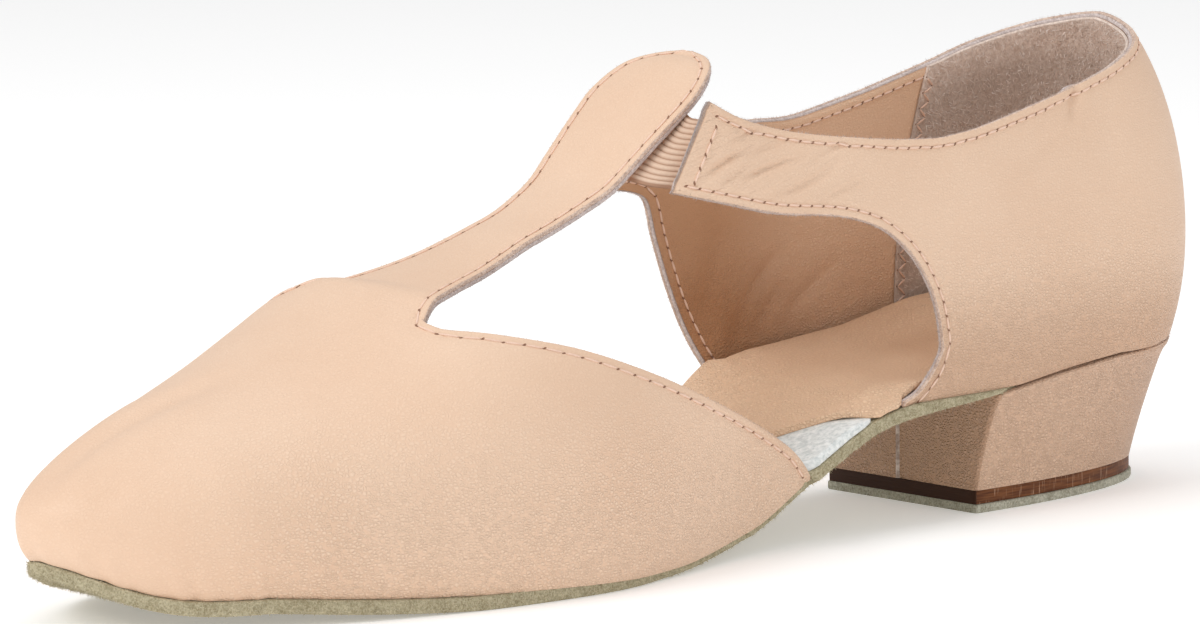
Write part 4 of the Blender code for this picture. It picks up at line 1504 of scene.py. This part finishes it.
# %% [markdown]
# ## Heel
# The low heel is a block covered in the same leather, with a flat breast towards the
# arch, a soft rolled bead under the seat and the joint of its cover in the middle of the
# breast. Under it lie a brown lift and a suede tip. All three are stacks of rings with
# the shape of a D, so one ring function serves them.

# %% Heel rings
BREAST_X = 62.6
HEEL_HALF = (18.6, 24.2)  # half the width at the bottom and at the top
HEEL_BACK = (115.0, 117.0)
HEEL_SQUARE = (2.2, 3.3)
HEEL_HOLLOW = 1.35
CORNER = 0.9
COVER_JOINT_Y = 1.0
COVER_JOINT_HALF = 0.3
FAR_BREAST = 12  # steps across the breast on the far side of the joint
NEAR_BREAST = 14


def heel_ring(level, bead, z_at, joint=0.0, corner=CORNER):
    """A ring of the heel: breast from the far to the near side, then round the back."""
    shape = level**HEEL_HOLLOW
    half = mix(*HEEL_HALF, shape) + bead
    back = mix(*HEEL_BACK, shape) + bead
    power = mix(*HEEL_SQUARE, level)
    flat = half - corner
    far_end = COVER_JOINT_Y + COVER_JOINT_HALF
    near_end = COVER_JOINT_Y - COVER_JOINT_HALF
    angles = [t * math.pi / 2 for t in fractions(6)[1:-1]]
    bend = [(BREAST_X + corner * (1 - math.cos(a)), flat + corner * math.sin(a)) for a in angles]
    plan = [(BREAST_X, mix(flat, far_end, t)) for t in fractions(FAR_BREAST)]
    plan += [
        (BREAST_X + joint * (1 - t) ** 2, mix(near_end, -flat, t)) for t in fractions(NEAR_BREAST)
    ]
    plan += [(x, -y) for x, y in bend]
    for t in graded(110, 0.6, 0.6, 0.1):
        angle = t * math.pi
        x = BREAST_X + (back - BREAST_X) * abs(math.sin(angle)) ** (2 / power)
        side = abs(math.cos(angle)) ** (2 / power)
        plan.append((max(x, BREAST_X + corner), -half * math.copysign(side, math.cos(angle))))
    plan += bend[::-1]
    return [(x, y, z_at(x)) for x, y in plan]


def stack(rings, name, finishes, marks, slot, node, joint=None, sharp=50):
    """A closed stack of rings. joint numbers the column of faces with the second finish."""
    wide = len(rings[0])
    points = np.array([p for ring in rings for p in ring])
    faces = []
    slots = []
    for i in range(len(rings) - 1):
        for j in range(wide):
            a = i * wide + j
            b = i * wide + (j + 1) % wide
            faces.append((a, a + wide, b + wide, b))
            slots.append(1 if j == joint else 0)
    end = (len(rings) - 1) * wide
    faces += [tuple(range(wide)), tuple(reversed(range(end, end + wide)))]
    slots += [0, 0]
    mesh_marks = {label: value(*points.T) for label, value in marks.items()}
    return piece(name, points, faces, finishes, slots, mesh_marks, slot, node, sharp)


print("heel:", HEEL_BACK[0] - BREAST_X, "mm long at the bottom")

# %% Heel cover
TIP_THICK = 1.5
LIFT_THICK = 2.4
COVER_STEP = 0.35
HEEL_GRAIN = 0.9
HEEL_UNDER = TIP_THICK + LIFT_THICK + SEAT
HEEL_BEAD = table(
    "level bead", (0.0, 0.0), (0.8, 0.0), (0.9, 0.15), (0.95, 0.5), (0.985, 0.5), (1.0, 0.1)
)
bead = curves(HEEL_BEAD)["bead"]


def seat_z(x):
    """Top of the heel, which follows the last and rises towards the back."""
    risen = HEEL_RISE * (max(x - HEEL_X, 0.0) / HEEL_REACH) ** 1.5
    return LAST["floor"](x) + risen - SEAT


def heel_shade(x, y, z):
    """Painted shade: the breast lies in the shoe's own shade, and the sides get darker towards the
    back.
    """
    return np.where(x < BREAST_X + 0.5, 0.5, 0.12 + 0.16 * ease(85, 112, x))


rings = []
for level in graded(46, 0.0, 0.75):
    rings.append(
        heel_ring(level, bead(level), lambda x: mix(HEEL_UNDER, seat_z(x), level), COVER_STEP)
    )
heel_marks = {"grain": lambda x, y, z: np.full(len(x), HEEL_GRAIN), "shade": heel_shade}
stack(
    rings, "heel_cover", [heel_kid, edge_fibre], heel_marks, "heel_leather", "heel", joint=FAR_BREAST
)

# %% Lift and tip
FLAT_CORNER = 0.5
FLAT_LIP = ((1, 0.0), (0.3, 0.08), (0, 0.25), (0, 0.5), (0, 0.75), (0.3, 0.92), (1, 1.0))


def flat_layer(name, low, high, grow, lip, finish, slot, node, shade):
    """A flat layer under the heel, with a small lip. Its breast gets painted shade."""
    rings = [
        heel_ring(0.0, grow - back * lip, lambda x: mix(low, high, t), 0.0, FLAT_CORNER)
        for back, t in FLAT_LIP
    ]
    marks = {"fuzz": lambda x, y, z: z > 0.3, "shade": lambda x, y, z: shade * (x < BREAST_X + 0.3)}
    return stack(rings, name, [finish], marks, slot, node, sharp=60)


lift_top = TIP_THICK + LIFT_THICK
flat_layer(
    "heel_lift_brown", TIP_THICK + SEAT, lift_top, -0.1, 0.06, lift, "lift_brown", "heel_lift", 1.0
)
tip_piece = flat_layer(
    "heel_tip_suede", 0.0, TIP_THICK, 0.3, 0.25, tip_suede, "tip_suede", "heel_tip", 0.15
)

# %% [markdown]
# ## Elastic
# A short band of ribbed elastic joins the straps under the paddle. Its ribs run along its
# length, evenly spaced, which is a rule, so a geometry tree raises them from the mark that
# says how far across the band a point lies.

# %% A tree that grows
class Growth(Graph):
    """A geometry tree with named inputs, which ends in real faces with a finish."""

    def __init__(self, name, shape, *sizes):
        super().__init__(bpy.data.node_groups.new(name, "GeometryNodeTree"))
        ends = [(shape, "INPUT", "Geometry"), ("Grown", "OUTPUT", "Geometry")]
        for label, way, kind in ends + [(size, "INPUT", "Float") for size in sizes]:
            self.tree.interface.new_socket(label, in_out=way, socket_type="NodeSocket" + kind)
        first = self.tree.nodes.new("NodeGroupInput")
        self.inputs = [Wire(self, first.outputs[k]) for k in range(1 + len(sizes))]

    def mark(self, name, kind="FLOAT"):
        settings = {"data_type": kind}
        return self.node("GeometryNodeInputNamedAttribute", settings, {"Name": name})

    def real(self, shape, finish, smooth=False):
        shape = self.node("GeometryNodeRealizeInstances", None, {"Geometry": shape})
        if smooth:
            shape = self.node("GeometryNodeSetShadeSmooth", None, {"Geometry": shape})
        inputs = {"Geometry": shape, "Material": finish.material}
        return self.node("GeometryNodeSetMaterial", None, inputs)

    def end(self, shape):
        self.tree.links.new(shape.socket, self.tree.nodes.new("NodeGroupOutput").inputs[0])
        return self.tree


def grown(name, guide, tree, values, slot, node=None):
    """Runs a geometry tree on a guide mesh and keeps the plain mesh that comes out."""
    made = shown(name, guide)
    grower = made.modifiers.new("grow", "NODES")
    grower.node_group = tree
    sockets = {s.name: s.identifier for s in tree.interface.items_tree if s.in_out == "INPUT"}
    for label, value in values.items():
        grower[sockets[label]] = value
    bpy.context.view_layer.update()
    graph = bpy.context.evaluated_depsgraph_get()
    plain = bpy.data.meshes.new_from_object(made.evaluated_get(graph))
    made.modifiers.remove(grower)
    made.data = plain
    plain.name = name
    return given(made, slot, node)


print("a growing tree has:", [name for name in vars(Growth) if not name.startswith("_")])

# %% Woven ribs
def rib_tree(finish):
    """Moves each point along its normal by rounded ribs, and stores a mark that is 1 in the grooves,
    where the finish paints shade. Inputs: how many, and how high.
    """
    graph = Growth("woven_ribs", "Band", "Ribs", "Height")
    band, count, height = graph.inputs
    phase = graph.mark("across") * count * math.pi
    wave = phase.maths("SINE", phase)
    crown = wave.maths("ABSOLUTE", wave) ** 0.6
    inputs = {0: graph.node("GeometryNodeInputNormal"), "Scale": crown * height}
    lift_by = graph.node("ShaderNodeVectorMath", {"operation": "SCALE"}, inputs)
    moved = graph.node("GeometryNodeSetPosition", None, {"Geometry": band, "Offset": lift_by})
    settings = {"data_type": "FLOAT", "domain": "POINT"}
    inputs = {"Geometry": moved, "Name": "groove", "Value": 1 - crown}
    marked = graph.node("GeometryNodeStoreNamedAttribute", settings, inputs)
    return graph.end(graph.real(marked, finish))


woven_ribs = rib_tree(web)
print("woven ribs:", len(woven_ribs.nodes), "nodes")

# %% Elastic band
ELASTIC = table(
    "y top_x top_z low_x low_z",
    (-15.0, 4.6, 72.4, -1.8, 61.3),
    (-12.0, 3.4, 72.6, -5.4, 61.9),
    (-7.5, 5.0, 73.8, -7.0, 62.9),
    (0.0, 6.8, 76.0, -7.0, 63.9),
    (7.0, 5.0, 74.0, -6.6, 62.6),
    (12.0, 2.4, 70.4, -4.9, 60.0),
)
ELASTIC_THICK = 1.1
RIBS = 13
RIB_STEPS = 8
RIB_HEIGHT = 0.2
band_shape = curves(ELASTIC, level=False)
levels = fractions(RIBS * RIB_STEPS)
rows = []
for y in [mix(ELASTIC[0].y, ELASTIC[-1].y, t) for t in fractions(50)]:
    low, top = (
        np.array((band_shape[end + "_x"](y), y, band_shape[end + "_z"](y))) for end in ("low", "top")
    )
    rows.append([mix(low, top, v) for v in levels])
band = Sheet(rows)
drafted = search(band.points)
band.weld(UNDER_INSTEP)
across = np.array([levels[drafted.find(p)[1] % len(levels)] for p in band.at])
band.push(np.full(len(band.at), -RIB_HEIGHT))
wall = walled(band, ELASTIC_THICK - 2 * RIB_HEIGHT)
rim = sorted({a for edge in rim_of(band) for a in edge})
marks = np.concatenate([across, across] + [across[rim]] * (len(CUT_EDGE) - 2))
grown(
    "elastic_ribbed",
    draft("elastic_guide", wall.points, wall.faces, {"across": marks}),
    woven_ribs,
    {"Ribs": float(RIBS), "Height": RIB_HEIGHT * MM},
    "elastic_web",
    "elastic",
)

# %% [markdown]
# ## Stitches
# A lockstitch row runs close inside every cut edge: short pale threads, each between
# two slanted needle holes. The holes are spaced along the edge and dropped
# onto the leather, and a geometry tree sets a thread on each span and a hole at each end.
# A picture of stitches would be lighter, but it would lie flat and lose the raised thread.

# %% Rows of needle holes
NEEDLE_PITCH = 2.45
VAMP_PITCH = 3.4
LOOK_AHEAD = 0.4


def surface_of(points, faces):
    return BVHTree.FromPolygons([Vector(p) for p in points], faces)


def resampled(line, pitch, skip):
    """Points at an even pitch along a line, and the direction of the line there."""
    line = np.array(line)
    gaps = np.linalg.norm(np.diff(line, axis=0), axis=1)
    lengths = np.concatenate([[0.0], np.cumsum(gaps)])
    count = max(int(round((lengths[-1] - 2 * skip) / pitch)), 1)
    spots = np.linspace(skip, lengths[-1] - skip, count + 1)
    behind, at, ahead = (
        np.column_stack([np.interp(spots + step, lengths, line[:, k]) for k in range(3)])
        for step in (-LOOK_AHEAD, 0.0, LOOK_AHEAD)
    )
    return at, unit(ahead - behind)


def needle_row(surface, line, inset, pitch=NEEDLE_PITCH, skip=1.6, zigzag=0.0):
    """Needle holes on a surface, this far inside a cut edge, with the direction out."""
    holes = []
    for i, (p, run) in enumerate(zip(*resampled(line, pitch, skip))):
        p, run = Vector(p), Vector(run)
        out = surface.find_nearest(p)[1]
        aside = run.cross(out) * (inset + zigzag * (i % 2))
        sides = [surface.find_nearest(p + aside * s) for s in (-1, 1)]
        spot, out = min(sides, key=lambda found: found[3])[:2]
        if not holes or (spot - holes[-1][0]).length > 0.5 * pitch:
            holes.append((spot, out))
    return holes


print("needle pitch:", NEEDLE_PITCH, "mm, on the vamp", VAMP_PITCH, "mm")

# %% Marks for threads and holes
NEEDLE_SLANT = math.radians(38)


def needle_marks(name, rows, raised=0.10):
    """The guide mesh of a tree: a point for each thread and one for each hole."""
    marks = []
    for holes in rows:
        for (p, up), (q, up_q) in zip(holes, holes[1:]):
            out = (up + up_q).normalized()
            marks.append(((p + q) / 2 + out * raised, q - p, out, True))
        for i, (p, up) in enumerate(holes):
            q = holes[i + 1][0] if i + 1 < len(holes) else p * 2 - holes[i - 1][0]
            marks.append((p, Matrix.Rotation(NEEDLE_SLANT, 3, up) @ (q - p), up, False))
    spots, runs, ups, spans = zip(*marks)
    mesh = bpy.data.meshes.new(name)
    mesh.from_pydata([(Vector(p) - Vector(MIDDLE)) * MM for p in spots], [], [])
    for label, values, scale in (("run", runs, MM), ("up", ups, 1.0)):
        data = np.array([v[:] for v in values], np.float32).ravel() * scale
        mesh.attributes.new(label, "FLOAT_VECTOR", "POINT").data.foreach_set("vector", data)
    mesh.attributes.new("span", "BOOLEAN", "POINT").data.foreach_set("value", spans)
    return mesh


print("holes slant by", round(math.degrees(NEEDLE_SLANT)), "degrees")

# %% Threads and holes
def needle_tree(thread_finish, hole_shade_finish):
    """A thread on each span and a hole at each end, a flat bead darkened with painted shade, from
    points marked span, run and up.
    """
    graph = Growth("needle_row", "Marks", "Thread width", "Hole length", "Hole width")
    marks, wide, hole_long, hole_wide = graph.inputs
    run = graph.mark("run", "FLOAT_VECTOR")
    span = graph.mark("span", "BOOLEAN")
    hole_end = graph.node("FunctionNodeBooleanMath", {"operation": "NOT"}, {0: span})
    length = graph.node("ShaderNodeVectorMath", {"operation": "LENGTH"}, {0: run}, out="Value")
    align = "FunctionNodeAlignRotationToVector"
    turn = graph.node(align, {"axis": "X"}, {"Vector": run})
    inputs = {"Rotation": turn, "Vector": graph.mark("up", "FLOAT_VECTOR")}
    turn = graph.node(align, {"axis": "Z", "pivot_axis": "X"}, inputs)
    ball = {"Segments": 8, "Rings": 6, "Radius": 1.0}
    bead_shape = graph.node("GeometryNodeMeshUVSphere", None, ball)
    thread_size = {0: length * 0.47, 1: wide * 0.5, 2: wide * 0.5}
    hole_size = {0: hole_long * 0.5, 1: hole_wide * 0.5, 2: hole_wide * 0.22}
    made = []
    for chosen, sizes, finish in (
        (span, thread_size, thread_finish),
        (hole_end, hole_size, hole_shade_finish),
    ):
        scale = graph.node("ShaderNodeCombineXYZ", None, sizes)
        inputs = {"Points": marks, "Selection": chosen, "Instance": bead_shape}
        inputs.update({"Rotation": turn, "Scale": scale})
        copies = graph.node("GeometryNodeInstanceOnPoints", None, inputs)
        made.append(graph.real(copies, finish, smooth=True))
    return graph.end(graph.node("GeometryNodeJoinGeometry", None, {"Geometry": made}))


def needle_sizes(thread_wide, hole_long, hole_wide):
    sizes = {"Thread width": thread_wide, "Hole length": hole_long, "Hole width": hole_wide}
    return {label: size * MM for label, size in sizes.items()}


needles = needle_tree(thread, hole)
LOCKSTITCH = needle_sizes(0.42, 0.9, 0.42)
ZIGZAG = needle_sizes(0.4, 0.35, 0.25)
print("needle tree:", len(needles.nodes), "nodes")

# %% Stitches of the vamp and the quarter
EDGE_SKIP = 2.4
END_INSET = 3.0
END_SKIP = 3.4
vamp_skin = surface_of(vamp.at, vamp.faces)
vamp_row = needle_row(vamp_skin, vamp.at[vamp_line], NEEDLE_INSET, VAMP_PITCH)
grown(
    "vamp_stitches", needle_marks("vamp_needle", [vamp_row]), needles, LOCKSTITCH, "vamp_leather"
)

far_top = [
    k for k in quarter_lines["topline"] if quarter.at[k][1] > 0 and quarter.at[k][0] < HEEL_X
]
outside = (quarter.at, surface_of(quarter.at, quarter.faces))
inside = (quarter_wall.lining[0], surface_of(*quarter_wall.lining))
QUARTER_ROWS = (
    (inside, quarter_lines["far_edge"], NEEDLE_INSET, EDGE_SKIP),
    (inside, far_top, NEEDLE_INSET, EDGE_SKIP),
    (outside, quarter_lines["topline"], NEEDLE_INSET, EDGE_SKIP),
    (outside, quarter_lines["cut_out"], NEEDLE_INSET, EDGE_SKIP),
    (outside, quarter_lines["far_edge"], NEEDLE_INSET, EDGE_SKIP),
    (outside, quarter_lines["near_end"], END_INSET, END_SKIP),
    (outside, quarter_lines["far_end"], END_INSET, END_SKIP),
)
quarter_rows = [
    needle_row(skin, at[line], inset, skip=skip) for (at, skin), line, inset, skip in QUARTER_ROWS
]
quarter_marked = needle_marks("quarter_needle", quarter_rows)
grown(
    "quarter_stitches", quarter_marked, needles, LOCKSTITCH, "quarter_leather"
)

# %% Zigzag of the heel grip
ZIGZAG_INSET = 0.1
ZIGZAG_PITCH = 1.5
ZIGZAG_WIDE = 2.0
zigzag_row = needle_row(
    surface_of(*grip_wall.lining), grip_front, ZIGZAG_INSET, ZIGZAG_PITCH, 2.0, ZIGZAG_WIDE
)
zigzag_marked = needle_marks("grip_needle", [zigzag_row], 0.25)
grown("grip_stitches", zigzag_marked, needles, ZIGZAG, "quarter_leather")

# %% [markdown]
# ## Loose fibres
# Suede and cut leather carry a fringe of loose fibres that softens their outline. Hair
# strands would be slow and could not be handed on as a mesh, so a geometry tree scatters
# thin cones on the marked parts of a piece, each leaning its own way.

# %% Nap
LEAN = 0.9
SHORTEST = 0.35


def nap_tree(finish):
    """Thin cones where the mark fuzz is set. Inputs: how many on a square metre, and sizes."""
    graph = Growth("loose_" + finish.material.name, "Piece", "Density", "Length", "Width")
    shape, density, long, wide = graph.inputs
    inputs = {"Mesh": shape, "Density": density * graph.mark("fuzz"), "Seed": 7}
    spots = graph.node("GeometryNodeDistributePointsOnFaces", None, inputs)
    random = "FunctionNodeRandomValue"
    inputs = {0: (-LEAN, -LEAN, -LEAN), 1: (LEAN, LEAN, LEAN), "Seed": 3}
    lean = graph.node(random, {"data_type": "FLOAT_VECTOR"}, inputs)
    inputs = {0: spots.beside("Normal"), 1: lean}
    way = graph.node("ShaderNodeVectorMath", {"operation": "ADD"}, inputs)
    turn = graph.node("FunctionNodeAlignRotationToVector", {"axis": "Z"}, {"Vector": way})
    share = graph.node(random, {"data_type": "FLOAT"}, {2: SHORTEST, 3: 1.0, "Seed": 5}, out=1)
    size = graph.node("ShaderNodeCombineXYZ", None, {0: wide, 1: wide, 2: long * share})
    cone = {"Vertices": 3, "Radius Top": 0.15, "Radius Bottom": 0.5, "Depth": 1.0}
    strand = graph.node("GeometryNodeMeshCone", {"fill_type": "NONE"}, cone)
    inputs = {"Points": spots, "Instance": strand, "Rotation": turn, "Scale": size}
    copies = graph.node("GeometryNodeInstanceOnPoints", None, inputs)
    return graph.end(graph.real(copies, finish))


NAPS = table(
    "name piece finish density long wide slot",
    ("sole_nap", sole_piece, sole_fibre, 6.0, 0.65, 0.09, "sole_suede"),
    ("tip_nap", tip_piece, tip_fibre, 5.0, 0.7, 0.09, "tip_suede"),
    ("grip_nap", grip_piece, grip_fibre, 2.2, 1.2, 0.13, "quarter_leather"),
    ("vamp_edge_nap", vamp_piece, edge_fibre, 4.0, 0.35, 0.08, "vamp_leather"),
    ("quarter_edge_nap", quarter_piece, edge_fibre, 5.0, 0.5, 0.08, "quarter_leather"),
)
for nap in NAPS:
    sizes = {"Density": nap.density / MM**2, "Length": nap.long * MM, "Width": nap.wide * MM}
    grown(nap.name, nap.piece.data.copy(), nap_tree(nap.finish), sizes, nap.slot)
